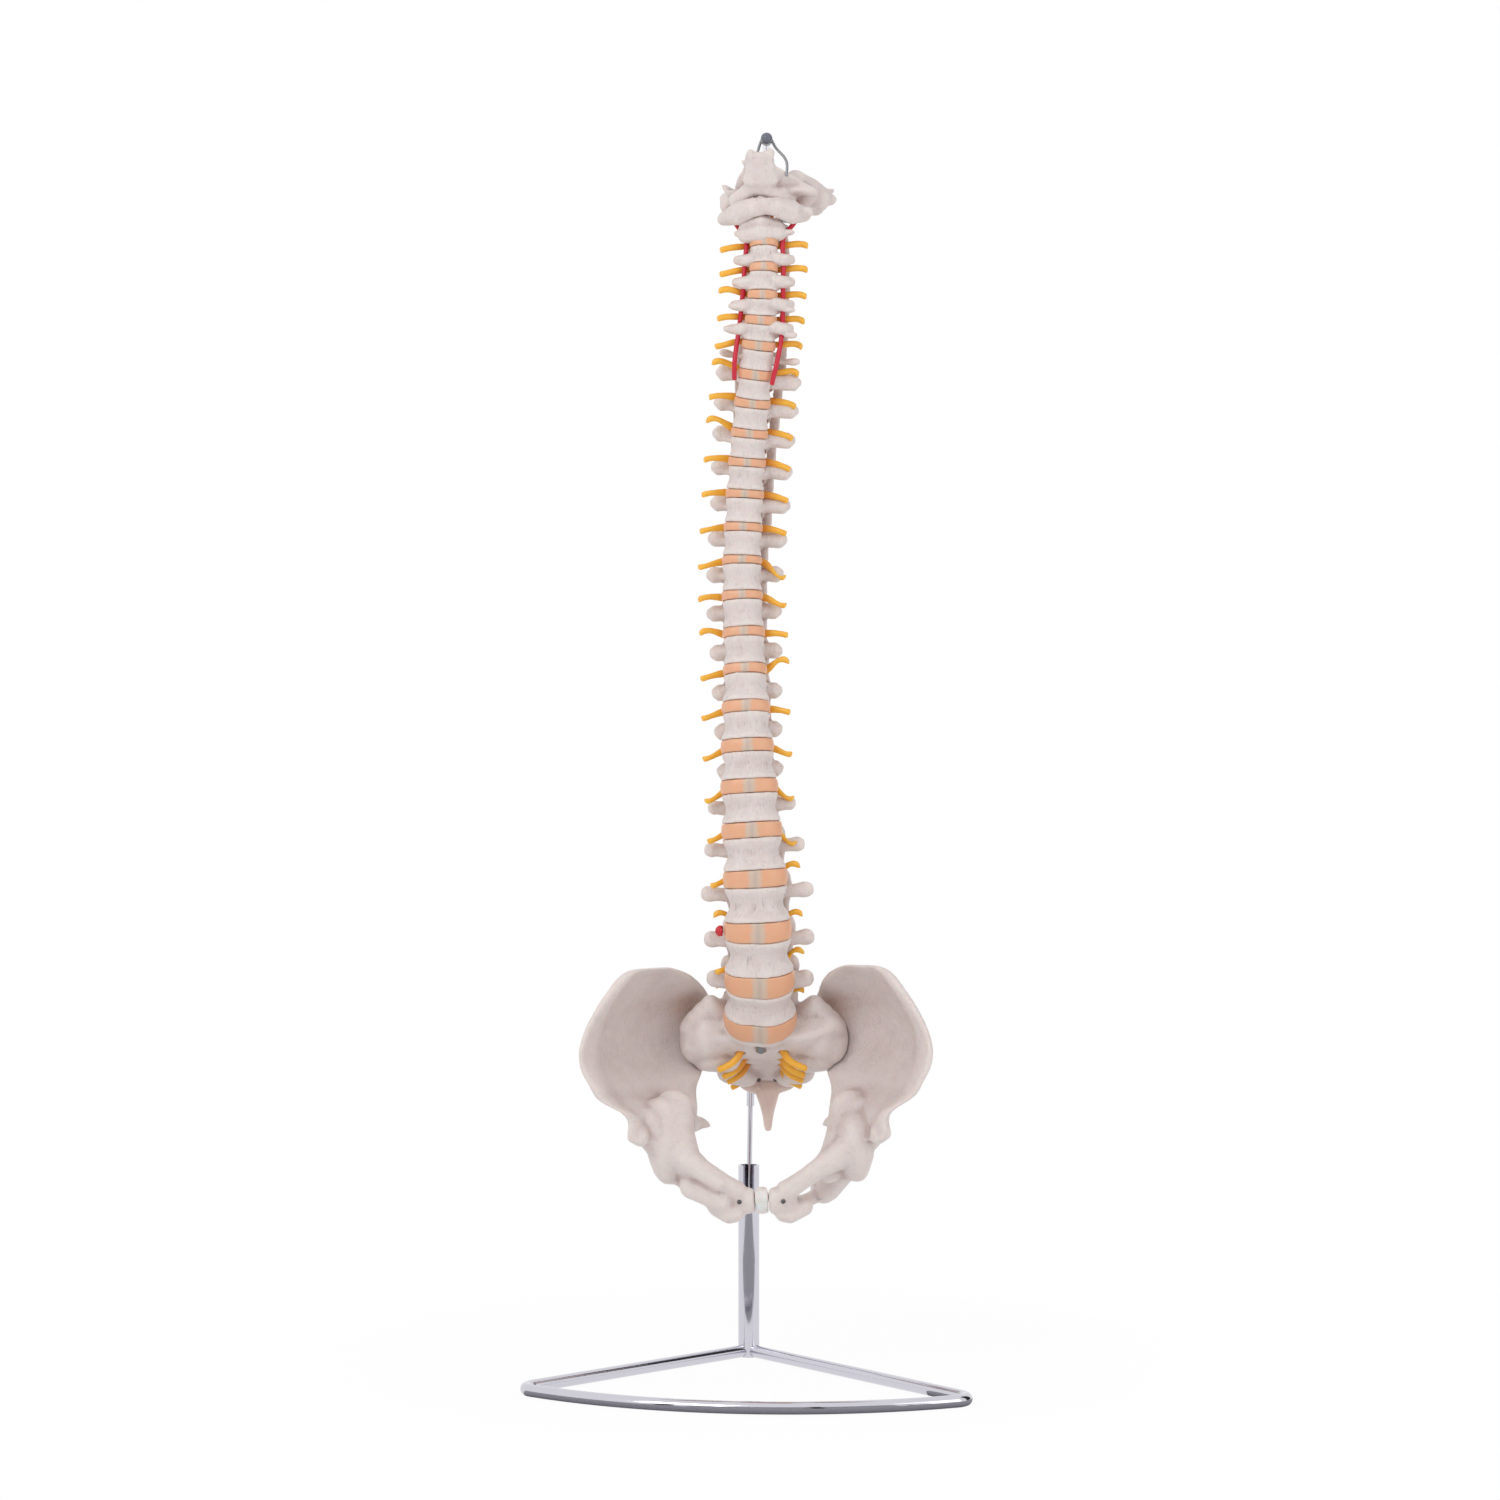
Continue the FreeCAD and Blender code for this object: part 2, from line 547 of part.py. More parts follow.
def loop_path():
    """List the points that the hanging cable follows, seen from the front about the arm."""
    clear = size("rod_upper_diameter") / 2 + size("loop_diameter") / 2 + 0.1
    over = [(-clear * 0.98, -0.6), (-clear * 0.76, clear * 0.7), (0, clear * 1.03),
            (clear * 0.76, clear * 0.7), (clear * 0.98, -0.6)]
    left = [skull_frame.at(-3, -15.5, 14.5), skull_frame.at(-3.2, -13, 18), skull_frame.at(-3.6, -9.5, 24)]
    right = [skull_frame.at(17.4, -6.5, 24), skull_frame.at(18.2, -8.6, 17.5), skull_frame.at(18.4, -10.2, 12)]
    halfway_left = (left[-1] + arm_point + V(-clear, 0, -1)) * 0.5 + V(-1, 0, -1)
    halfway_right = (right[0] + arm_point + V(clear, 0, -1)) * 0.5 + V(1, 0, -1)
    top = [arm_point + V(x, 0, z) for x, z in over]
    return left + [halfway_left] + top + [halfway_right] + right


def round_limb(path, radius, count=24):
    """Loft an even round cord along a smooth curve through a path."""
    curve = Part.BSplineCurve()
    curve.interpolate(Points=path)
    stops = curve.discretize(count)
    rings = []
    side = None
    for index, stop in enumerate(stops):
        heading = unit(stops[min(index + 1, count - 1)] - stops[max(index - 1, 0)])
        if side is None:
            side = unit(heading.cross(V(0, 1, 0)))
        side = unit(side - heading * side.dot(heading))
        rings.append(oval(stop, side, side.cross(heading), radius, radius))
    return Part.makeLoft(rings, True, False)


# Sacrum, coccyx and hip bones, made in the pelvis's own upright frame

pelvis_frame = Frame(upper_face("s1")[0], axis_of(0, -size("pelvis_roll")), size("pelvis_yaw"))
sacral_frame = Frame(V(0, 0, 0), axis_of(size("sacrum_tilt"), 0), 0)


def to_pelvis(point):
    """Turn a point of the model into the pelvis's own frame."""
    offset = point - pelvis_frame.origin
    return V(offset.dot(pelvis_frame.right), offset.dot(pelvis_frame.back), offset.dot(pelvis_frame.up))


def sacral_slice(down, half_wide, front, back):
    """Make one outline across the sacrum, with a flat front and a ridged back."""
    half = [(0.34, front + 0.6), (0.76, front + 5), (1.0, front + (back - front) * 0.42),
            (0.8, back - (back - front) * 0.28), (0.38, back - (back - front) * 0.12)]
    points = [(0, front)] + half + [(0, back)] + [(-x, y) for x, y in reversed(half)]
    return closed_curve([sacral_frame.at(x * half_wide, y, -down) for x, y in points])


SACRAL_SLICES = [
    (2.6, 50, -12, 20), (10, 57, -14, 25), (20, 56, -14, 25), (36, 40, -11.5, 19),
    (52, 28, -8, 14), (66, 23.5, -6.5, 8), (76, 19, -7.5, 3),
]
FORAMINA = [(15.5, 21, 2.3), (14, 36, 2.2), (12.8, 50, 2.1), (11.8, 62, 1.9)]


def sacral_mass(grow=0):
    """Loft the sacrum's outer form."""
    return Part.makeLoft([sacral_slice(down, half_wide + grow, front, back + grow)
                          for down, half_wide, front, back in SACRAL_SLICES], True, False)


def sacral_front(down):
    """Give the depth of the sacrum's front face at a distance down."""
    for first, last in zip(SACRAL_SLICES, SACRAL_SLICES[1:]):
        if first[0] <= down <= last[0]:
            part = (down - first[0]) / (last[0] - first[0])
            return first[2] + (last[2] - first[2]) * part
    raise ValueError("beyond the sacrum")


def sacral_nerve(side, index, radius_grow=0):
    """Make one nerve through a front opening of the sacrum."""
    out, down, radius = FORAMINA[index]
    front = sacral_front(down)
    reach = 15 - index * 0.8
    path = [sacral_frame.at(side * x, y, -z) for x, y, z in (
        (out * 0.3, front + 13 - index, down - 4), (out * 0.8, front + 8, down - 2.5),
        (out, front, down - 0.5), (out + reach * 0.45, front - 6, down + 2.5),
        (out + reach, front - 8.5, down + 6))]
    thick = radius + radius_grow
    return limb(path, [(thick, thick)] * 3 + [(thick * 0.9, thick * 0.9), (thick * 0.8, thick * 0.8)])


nut_heading = unit(sacral_frame.at(0, sacral_front(9.5), -9.5) - to_pelvis(disc_centre["l5"]))
nut_seat = sacral_frame.at(0, sacral_front(9.5), -9.5) - nut_heading * 1.6


def sacrum_bone():
    """Make the sacrum in its place."""
    bottom, bottom_up, yaw, (wide, deep) = upper_face("s1")
    plate = Part.makeLoft([
        body_ring(bottom, bottom_up, yaw, wide, deep),
        body_ring(bottom - bottom_up * 3, bottom_up, yaw, wide, deep),
        body_ring(bottom - bottom_up * 11, bottom_up, yaw, wide * 0.86, deep * 0.8)], True, False)
    canal = limb([sacral_frame.at(0, y, -z) for y, z in ((21, -6), (17, 10), (12, 36), (6, 58))],
                 [(9, 5), (8, 4.6), (6, 3.6), (4, 2.4)], V(0, 1, 0))
    cuts = [canal, cable_run(to_pelvis(disc_centre["l5"]), nut_seat + nut_heading, cable_hole)]
    cuts.append(cable_run(nut_seat, nut_seat + nut_heading * 12, size("nut_across") * 0.62))
    for index in range(len(FORAMINA)):
        for side in (1, -1):
            cuts.append(sacral_nerve(side, index, 0.7))
    mass = sacral_mass()
    knobs = []
    for side in (1, -1):
        horn = limb([sacral_frame.at(side * x, y, z) for x, y, z in (
            (20, 15, -8), (20.5, 19, 0), (21.5, 21, 6), (22, 21.5, 8.5))],
            [(6, 4), (6, 3.4), (5, 3), (2.4, 1.6)])
        knobs.append(horn)
    bone = pelvis_frame.place(mass.fuse(knobs)).fuse(plate)
    return bone.cut([pelvis_frame.place(piece) for piece in cuts])


coccyx_top = sacral_frame.at(0, -2.6, -76 - seat_gap)


def coccyx_bone():
    """Make the coccyx, which hangs down from the end of the sacrum."""
    start = coccyx_top
    spine = limb([start + V(0, y, z) for y, z in ((0.6, 1.2), (-1.2, -3), (-2.4, -12), (-3.2, -20),
                                                   (-4.6, -30), (-6, -38))],
                 [(9, 3.6), (9, 3.8), (8.4, 4), (6, 3.6), (3.8, 3), (2, 1.8)], V(0, 1, 0))
    horns = [limb([start + V(side * x, y, z) for x, y, z in (
        (4, -2, -10), (11, -2.4, -8), (16.5, -2.6, -6), (19.5, -2.6, -4.6))],
        [(2.8, 4), (2.4, 3.2), (2.2, 2.8), (1.2, 1.4)]) for side in (1, -1)]
    past_end = Part.makeBox(80, 60, 60, V(-40, -30, 0))
    tilted = Frame(sacral_frame.at(0, -2.6, -76 - seat_gap), sacral_frame.up, 0)
    return pelvis_frame.place(spine.fuse(horns).cut(tilted.place(past_end)))


def blade_slice(height, front, back, bow, half_front, half_middle, half_back):
    """Make one level outline of the hip's blade, from its front edge to its back edge."""
    first = V(front[0], front[1], 0)
    last = V(back[0], back[1], 0)
    chord = last - first
    outward = V(chord.y, -chord.x, 0).normalize()
    if outward.x < 0:
        outward = outward * -1
    outer, inner = [], []
    for part, half in ((0.03, half_front * 0.8), (0.16, half_front), (0.42, half_middle),
                       (0.7, half_middle), (0.88, half_back), (0.98, half_back * 0.7)):
        middle = first + chord * part + outward * (bow * 4 * part * (1 - part))
        outer.append(middle + outward * half)
        inner.append(middle - outward * half)
    tip = first - unit(chord) * (half_front * 0.5)
    heel = last + unit(chord) * (half_back * 0.4)
    points = [tip] + outer + [heel] + inner[::-1]
    return closed_curve([V(point.x, point.y, height) for point in points])


BLADE_SLICES = [
    (-78, (80, -40), (50, 22), 4, 6, 8, 6),
    (-66, (86, -46), (49, 20), 6, 5, 6.5, 6),
    (-54, (93, -52), (49, 18), 8, 4, 5, 7),
    (-45, (106, -57), (49, 24), 9, 4.6, 4, 7.5),
    (-36, (111, -59), (46, 32), 10, 5, 3.4, 8),
    (-23, (117, -60), (42, 45), 12, 5, 2.8, 8.5),
    (-8, (117, -59), (38, 49), 14, 4.6, 2.4, 9),
    (7, (111, -56), (38, 46), 14, 4.6, 2.2, 9),
    (19, (104, -52), (41, 30), 12, 4.8, 2.4, 8),
    (29, (97, -47), (45, 10), 9, 5, 3, 6.5),
    (37, (90, -42), (53, -8), 5, 5, 4, 5),
    (41, (82, -37), (61, -20), 2, 4, 3.6, 3.4),
]


def hip_bone():
    """Make the right hip bone in the pelvis's frame: blade, socket, ischium, rami and pubic body."""
    pad_half = size("symphysis_width") / 2
    blade = Part.makeLoft([blade_slice(*values) for values in BLADE_SLICES], True, False)
    socket_mass = ball(V(65, -5, -84), 17, 27, 26)
    brow = ball(V(81, -36, -73), 6, 8, 8)
    ischium = limb([V(60, 3, -88), V(55, 12, -98), V(47, 26, -108), V(41, 36, -118), V(38, 42, -124),
                    V(37, 44, -127)],
                   [(13, 15), (12.5, 14), (11, 13), (10.5, 12), (9, 10), (5, 5)], V(0, 1, 0))
    point = limb([V(54, 14, -70), V(48, 28, -72), V(42, 38, -74), V(39, 41, -76)],
                 [(9, 8), (5, 6), (3, 3.4), (1.4, 1.4)])
    upper = limb([V(62, -20, -84), V(52, -25, -90), V(40, -27, -97), V(27, -25, -106), V(15, -22, -114)],
                 [(11, 12), (8.5, 9.5), (6.5, 7.5), (6, 7), (6.4, 8)])
    lower = limb([V(38, 38, -122), V(34, 22, -123), V(28, 4, -124), V(21, -10, -124), V(14, -18, -122)],
                 [(6, 8), (4.2, 6), (4, 6), (4.6, 6.4), (5, 7)])
    body = limb([V(pad_half, -21, -119.5), V(9, -21.4, -119.5), V(16, -21, -119.5), V(24, -19, -120)],
                [(6.4, 9), (6.8, 9.4), (6.4, 8.6), (3, 4)])
    bone = blade.fuse([socket_mass, brow, ischium, point, upper, lower, body])
    cuts = [Part.makeSphere(size("socket_radius"), V(82, 2, -92)), sacral_mass(seat_gap)]
    cuts.append(Part.makeBox(100, 200, 400, V(pad_half - 100, -100, -300)))
    return bone.cut(cuts)


def symphysis_pad():
    """Make the clear pad between the two pubic bones."""
    half = size("symphysis_width") / 2
    return pelvis_frame.place(limb([V(-half, -21, -119.5), V(0, -21, -119.5), V(half, -21, -119.5)],
                                   [(6, 8.6), (6.9, 9.6), (6, 8.6)]))


# Soft parts that run through the bones

def canal_point(level):
    """Give the middle of the spinal canal at a vertebra."""
    frame, _ = body_place(level)
    return frame.at(0, canal_middle(level), 0)


def nerve(level, side):
    """Make one nerve root that leaves the spine beside the disc under a vertebra."""
    below = ORDER[ORDER.index(level) + 1]
    beside = "c3" if level == "c2" else level
    frame = Frame(disc_centre[level], face_up(level, below) + face_up(below, level), yaw_at(level))
    middle = canal_middle(beside)
    deep = graded("body_deep", beside)
    out = graded("canal_wide", beside) / 2 + 2
    thick = size("nerve_root") / 2 if level[0] != "c" else size("nerve_root") / 2 - 0.5
    thin = size("nerve_tip") / 2
    pass_back = deep * 0.44 + thick + (2.2 if level in ("l4", "l5") else 0.7)
    droop = graded("droop_right" if side > 0 else "droop_left", beside)
    reach = size("nerve_reach")
    rise = thick * 0.4
    path = [frame.at(0, middle, rise), frame.at(side * out * 0.6, (middle + pass_back) / 2, rise),
            frame.at(side * out, pass_back, rise)]
    tip = frame.at(side * reach, 0, 0)
    tip = V(tip.x, frame.at(0, deep * 0.3, 0).y, disc_centre[level].z - droop)
    path.append(path[2] + (tip - path[2]) * 0.35 + V(0, 0, 0.8))
    path.append(tip)
    return limb(path, [(thick, thick)] * 3 + [((thick + thin) / 2, (thick + thin) / 2), (thin, thin)])


def cord_and_nerves():
    """Make the soft moulding of the spinal cord and all nerve roots."""
    radius = size("cord_diameter") / 2
    path = [skull_frame.at(0, 15, 4), atlas_frame.at(0, 13, 0), axis_frame.at(0, 12.5, axis_high / 2)]
    path += [canal_point(level) for level in LEVELS]
    path += [pelvis_frame.at(*sacral_frame.at(0, y, -z)) for y, z in ((17.2, 8), (13.5, 26), (10, 42))]
    halves = [(radius * 0.95, radius * 0.9)] * 16 + [(radius, radius * 0.95)] * 6
    halves += [(radius * 0.85, radius * 0.8)] * 3 + [(radius * 0.8, radius * 0.7), (radius * 0.7, radius * 0.55),
                                                     (radius * 0.5, radius * 0.4)]
    trunk = limb(path, halves, V(0, 1, 0))
    roots = []
    for level in ["c2"] + LEVELS:
        for side in (1, -1):
            roots.append(nerve(level, side))
    for index in range(len(FORAMINA)):
        for side in (1, -1):
            roots.append(pelvis_frame.place(sacral_nerve(side, index)))
    return trunk.fuse(roots)


def artery_path(side):
    """List the points that a vertebral artery follows, from below c7 up through the neck."""
    path = []
    first, high = body_place("t1")
    path.append(first.at(side * 13, -6, high * 0.35))
    frame, high = body_place("c7")
    path.append(frame.at(side * 14.6, -4.5, 0))
    for level in ("c6", "c5", "c4", "c3"):
        frame, high = body_place(level)
        path.append(frame.at(side * (graded("body_wide", level) / 2 + 3.3), graded("body_deep", level) * 0.14, 0))
    path.append(axis_frame.at(side * 14, 2.5, axis_high * 0.4))
    path.append(axis_frame.at(side * 20, 3.4, axis_high + 1))
    path.append(atlas_frame.at(side * 22.5, 4, 0))
    path.append(atlas_frame.at(side * 20, 12, 7.4))
    path.append(atlas_frame.at(side * 11.6, 16.5, 8))
    return path


def core_cable():
    """Make the flexible cable through all bodies and discs, with a bend at each disc."""
    radius = size("cable_diameter") / 2
    end = pelvis_frame.at(*(nut_seat + nut_heading * (size("nut_length") + 1.2)))
    stops = [axis_frame.at(0, 0, axis_high * 0.7)] + [disc_centre[level] for level in ["c2"] + LEVELS] + [end]
    pieces = [cable_run(first, last, radius) for first, last in zip(stops, stops[1:])]
    pieces += [Part.makeSphere(radius, stop) for stop in stops[1:-1]]
    return pieces[0].fuse(pieces[1:])


def cable_nut():
    """Make the six-sided nut on the front of the sacrum."""
    across = size("nut_across")
    corners = [V(math.cos(math.pi / 3 * step), math.sin(math.pi / 3 * step), 0) * (across / math.sqrt(3))
               for step in range(7)]
    block = Part.Face(Part.makePolygon(corners)).extrude(V(0, 0, size("nut_length")))
    bore = Part.makeCylinder(size("cable_diameter") / 2 + 0.05, size("nut_length") * 3, V(0, 0, -size("nut_length")))
    seat = Frame(nut_seat + nut_heading * 0.05, nut_heading, 0)
    return pelvis_frame.place(seat.place(block.cut(bore)))


def screw(point, heading):
    """Make one small round-headed screw that lies on a surface."""
    radius = size("screw_diameter") / 2
    head = Part.makeSphere(radius).common(Part.makeBox(8, 8, 8, V(-4, -4, 0)))
    stem = Part.makeCylinder(radius * 0.5, 3.4, V(0, 0, -3.4))
    return Frame(point, heading, 0).place(head.fuse(stem))


def cut_each(shape, tools):
    """Cut the tools from a shape, one after the other."""
    for tool in tools:
        shape = shape.cut(tool)
    return shape


def show_solid(label, shape):
    """Keep a shape as a sub-part and list its file."""
    SUB_PARTS.append(label)
    solid_feature(label, shape)


# Chrome stand, from objects whose sizes are bound to the sheet

def bound(kind, label, bindings, place=None):
    """Add an object whose sizes follow the sheet."""
    item = doc.addObject(kind, label)
    item.Label = label
    for name, formula in bindings.items():
        item.setExpression(name, formula)
    if place is not None:
        item.Placement = place
    return item


def combined(kind, label, pieces):
    """Add a boolean object that joins or cuts the pieces."""
    item = doc.addObject(kind, label)
    item.Label = label
    if kind == "Part::Cut":
        item.Base, item.Tool = pieces
    else:
        item.Shapes = pieces
    return item


def corner_bend(corner, inward, centre, radius, bend):
    """Round the corner between a straight bar and the front arc; give both tangent points and a middle."""
    normal = V(-inward.y, inward.x, 0)
    if normal.y > 0:
        normal = normal * -1
    offset = corner + normal * bend - centre
    half = offset.dot(inward)
    along = -half - math.sqrt(half * half - offset.dot(offset) + (radius - bend) ** 2)
    middle = corner + inward * along + normal * bend
    on_bar = corner + inward * along
    on_arc = centre + unit(middle - centre) * radius
    halfway = middle + unit((on_bar - middle) + (on_arc - middle)) * bend
    return on_bar, halfway, on_arc


def base_path():
    """Make the bent bar's centre line: out to one corner, round the front and back."""
    high = size("bar_diameter") / 2
    corners = []
    for side, name in ((-1, "left"), (1, "right")):
        turn = math.radians(size(f"{name}_bar_angle"))
        corners.append(V(side * math.sin(turn), -math.cos(turn), 0) * size(f"{name}_bar_reach"))
    left, right = corners
    radius = size("front_arc_radius")
    chord = right - left
    back = V(-chord.y, chord.x, 0).normalize()
    centre = (left + right) * 0.5 + back * math.sqrt(radius ** 2 - (chord.Length / 2) ** 2)
    bend = size("corner_radius")
    first = corner_bend(left, unit(left * -1), centre, radius, bend)
    last = corner_bend(right, unit(right * -1), centre, radius, bend)
    front = centre + unit((first[2] - centre) + (last[2] - centre)) * radius
    rise = V(0, 0, high)
    left_foot = rise - unit(first[0] * -1) * (size("tube_bore") / 2)
    right_foot = rise - unit(last[0] * -1) * (size("tube_bore") / 2)
    first = [point + rise for point in first]
    last = [point + rise for point in last]
    edges = [Part.makeLine(left_foot, first[0]), Part.Arc(*first).toShape(),
             Part.Arc(first[2], front + rise, last[2]).toShape(), Part.Arc(*last[::-1]).toShape(),
             Part.makeLine(last[0], right_foot)]
    return Part.Wire(edges), unit(first[0] - left_foot)


def swept(label, path, heading, radius_formula):
    """Sweep a round section whose radius follows the sheet along a path."""
    line = solid_feature(f"{label}_path", path)
    start = path.OrderedVertexes[0].Point
    turn = FreeCAD.Placement(start, FreeCAD.Rotation(V(0, 0, 1), heading))
    ring = bound("Part::Circle", f"{label}_ring", {"Radius": radius_formula}, turn)
    sweep = doc.addObject("Part::Sweep", label)
    sweep.Label = label
    sweep.Sections = [ring]
    sweep.Spine = (line, [f"Edge{index + 1}" for index in range(len(path.Edges))])
    sweep.Solid = True
    sweep.Frenet = False
    sweep.Transition = "Transformed"
    return sweep


def make_tube():
    """Make the upright tube with a slot in the front of its mouth."""
    body = doc.addObject("PartDesign::Body", "stand_tube")
    body.Label = "stand_tube"
    planes = {item.Role: item for item in body.Origin.OriginFeatures}
    ring = body.newObject("Sketcher::SketchObject", "tube_ring")
    ring.AttachmentSupport = (planes["XY_Plane"], [""])
    ring.MapMode = "FlatFace"
    for alias in ("tube_outer", "tube_bore"):
        circle = ring.addGeometry(Part.Circle(V(0, 0, 0), V(0, 0, 1), size(alias) / 2))
        ring.addConstraint(Sketcher.Constraint("Coincident", circle, 3, -1, 1))
        mark = ring.addConstraint(Sketcher.Constraint("Diameter", circle, size(alias)))
        ring.setExpression(f"Constraints[{mark}]", f"sizes.{alias}")
    pad = body.newObject("PartDesign::Pad", "tube_pad")
    pad.Profile = ring
    pad.setExpression("Length", "sizes.tube_length")
    doc.recompute()
    slot = body.newObject("Sketcher::SketchObject", "tube_slot")
    slot.AttachmentSupport = (planes["XZ_Plane"], [""])
    slot.MapMode = "FlatFace"
    half = size("slot_width") / 2
    high = size("tube_length") + 1
    low = size("tube_length") - size("slot_length")
    corners = [V(-half, low, 0), V(half, low, 0), V(half, high, 0), V(-half, high, 0)]
    lines = [slot.addGeometry(Part.LineSegment(corners[step], corners[(step + 1) % 4])) for step in range(4)]
    for step in range(4):
        slot.addConstraint(Sketcher.Constraint("Coincident", lines[step], 2, lines[(step + 1) % 4], 1))
    for step, name in ((1, "Vertical"), (2, "Horizontal"), (3, "Vertical")):
        slot.addConstraint(Sketcher.Constraint(name, lines[step]))
    slot.addConstraint(Sketcher.Constraint("Symmetric", lines[0], 1, lines[0], 2, -2))
    wide = slot.addConstraint(Sketcher.Constraint("DistanceX", lines[0], 1, lines[0], 2, half * 2))
    slot.setExpression(f"Constraints[{wide}]", "sizes.slot_width")
    deep = slot.addConstraint(Sketcher.Constraint("DistanceY", -1, 1, lines[0], 1, low))
    slot.setExpression(f"Constraints[{deep}]", "sizes.tube_length - sizes.slot_length")
    top = slot.addConstraint(Sketcher.Constraint("DistanceY", -1, 1, lines[2], 1, high))
    slot.setExpression(f"Constraints[{top}]", "sizes.tube_length + 1")
    doc.recompute()
    before = body.Shape.Volume
    pocket = body.newObject("PartDesign::Pocket", "tube_slot_cut")
    pocket.Profile = slot
    pocket.setExpression("Length", "sizes.tube_outer")
    doc.recompute()
    front = body.Shape.BoundBox
    rim = body.Shape.common(Part.makeBox(2, 20, 2, V(-1, -20, size("tube_length") - 2)))
    if rim.Volume > 0.01:
        pocket.Reversed = True
        doc.recompute()
    if body.Shape.Volume >= before:
        raise RuntimeError("the slot cuts nothing")
    return body


def rod_line():
    """Give the rod's foot on the floor plane and its heading."""
    return V(-1.8, 0, 0), V(lean_slope, 0, 1).normalize()


def make_rod():
    """Make the rod with its bent arm."""
    foot, heading = rod_line()
    bend = size("arm_bend_radius")
    step = foot + heading * (size("rod_step_height") / heading.z)
    corner = foot + heading * (size("arm_height") / heading.z)
    forward = V(0, -1, 0)
    turn_start = corner - heading * bend
    turn_end = corner + forward * bend
    middle = turn_start + forward * bend
    halfway = middle + unit((turn_start - middle) + (turn_end - middle)) * bend
    arm_tip = corner + forward * size("arm_reach")
    path = Part.Wire([Part.makeLine(step, turn_start), Part.Arc(turn_start, halfway, turn_end).toShape(),
                      Part.makeLine(turn_end, arm_tip)])
    upper = swept("rod_upper", path, heading, "sizes.rod_upper_diameter / 2")
    rod_foot = size("plug_length") * 0.4
    lower = bound("Part::Cylinder", "rod_lower",
                  {"Radius": "sizes.rod_lower_diameter / 2",
                   "Height": "sizes.rod_step_height - sizes.plug_length * 0.4 + 1"},
                  FreeCAD.Placement(foot + heading * (rod_foot / heading.z),
                                    FreeCAD.Rotation(V(0, 0, 1), heading)))
    return combined("Part::MultiFuse", "stand_rod", [upper, lower]), arm_tip


def make_stand():
    """Make every piece of the stand."""
    path, heading = base_path()
    bar = swept("base_bar", path, heading, "sizes.bar_diameter / 2")
    way = bound("Part::Cylinder", "base_tube_way",
                {"Radius": "sizes.tube_outer / 2", "Height": "sizes.bar_diameter * 2"},
                FreeCAD.Placement(V(0, 0, -4), FreeCAD.Rotation()))
    combined("Part::Cut", "stand_base_frame", [bar, way])
    make_tube()
    foot, heading = rod_line()
    plug = bound("Part::Cylinder", "plug_round",
                 {"Radius": "sizes.tube_bore / 2 - sizes.plug_gap", "Height": "sizes.plug_length"})
    rod_foot = size("plug_length") * 0.4
    hole = bound("Part::Cylinder", "plug_hole",
                 {"Radius": "sizes.rod_lower_diameter / 2 + 0.05", "Height": "sizes.plug_length"},
                 FreeCAD.Placement(foot + heading * (rod_foot / heading.z),
                                   FreeCAD.Rotation(V(0, 0, 1), heading)))
    combined("Part::Cut", "tube_foot_plug", [plug, hole])
    _, arm_tip = make_rod()
    cap_start = arm_tip + V(0, size("cap_length") - 2.5, 0)
    forward = FreeCAD.Rotation(V(0, 0, 1), V(0, -1, 0))
    barrel = bound("Part::Cylinder", "cap_barrel",
                   {"Radius": "sizes.cap_diameter / 2", "Height": "sizes.cap_length"},
                   FreeCAD.Placement(cap_start, forward))
    dome = bound("Part::Sphere", "cap_dome", {"Radius": "sizes.cap_diameter / 2"},
                 FreeCAD.Placement(cap_start + V(0, -size("cap_length"), 0), forward))
    bore = bound("Part::Cylinder", "cap_bore",
                 {"Radius": "sizes.rod_upper_diameter / 2 + 0.05", "Height": "sizes.cap_length - 2.4"},
                 FreeCAD.Placement(cap_start, forward))
    whole = combined("Part::MultiFuse", "cap_whole", [barrel, dome])
    combined("Part::Cut", "arm_end_cap", [whole, bore])
    SUB_PARTS.extend(["stand_base_frame", "stand_tube", "tube_foot_plug", "stand_rod", "arm_end_cap"])


def check_and_export():
    """Stop on any failed object, then write each sub-part's file."""
    doc.recompute()
    os.makedirs("parts", exist_ok=True)
    for item in doc.Objects:
        if "Invalid" in item.State or "Error" in item.State:
            raise RuntimeError(f"{item.Label} failed to build")
    for label in SUB_PARTS:
        shape = doc.getObjectsByLabel(label)[0].Shape
        if shape.isNull() or not shape.isValid():
            raise RuntimeError(f"{label} has no valid shape")
        shape.exportStep(f"parts/{label}.step")


SUB_PARTS = []
artery_radius = size("artery_diameter") / 2
arteries = [round_limb(artery_path(side), artery_radius) for side in (1, -1)]
artery_ways = [round_limb(artery_path(side), artery_radius + size("artery_gap")) for side in (1, -1)]
loop = round_limb(loop_path(), size("loop_diameter") / 2)
loop_way = round_limb(loop_path(), size("loop_diameter") / 2 + 0.15)

screws = []
for across in (-6, 6):
    screws.append(screw(pelvis_frame.at(*sacral_frame.at(across, sacral_front(72.5) + 0.2, -72.5)),
                        pelvis_frame.back * -1 + pelvis_frame.up * 0.2))
for across in (-15, 15):
    screws.append(screw(pelvis_frame.at(across, -27.4, -119.5), pelvis_frame.back * -1 - pelvis_frame.up * 0.1))
cord = cord_and_nerves()

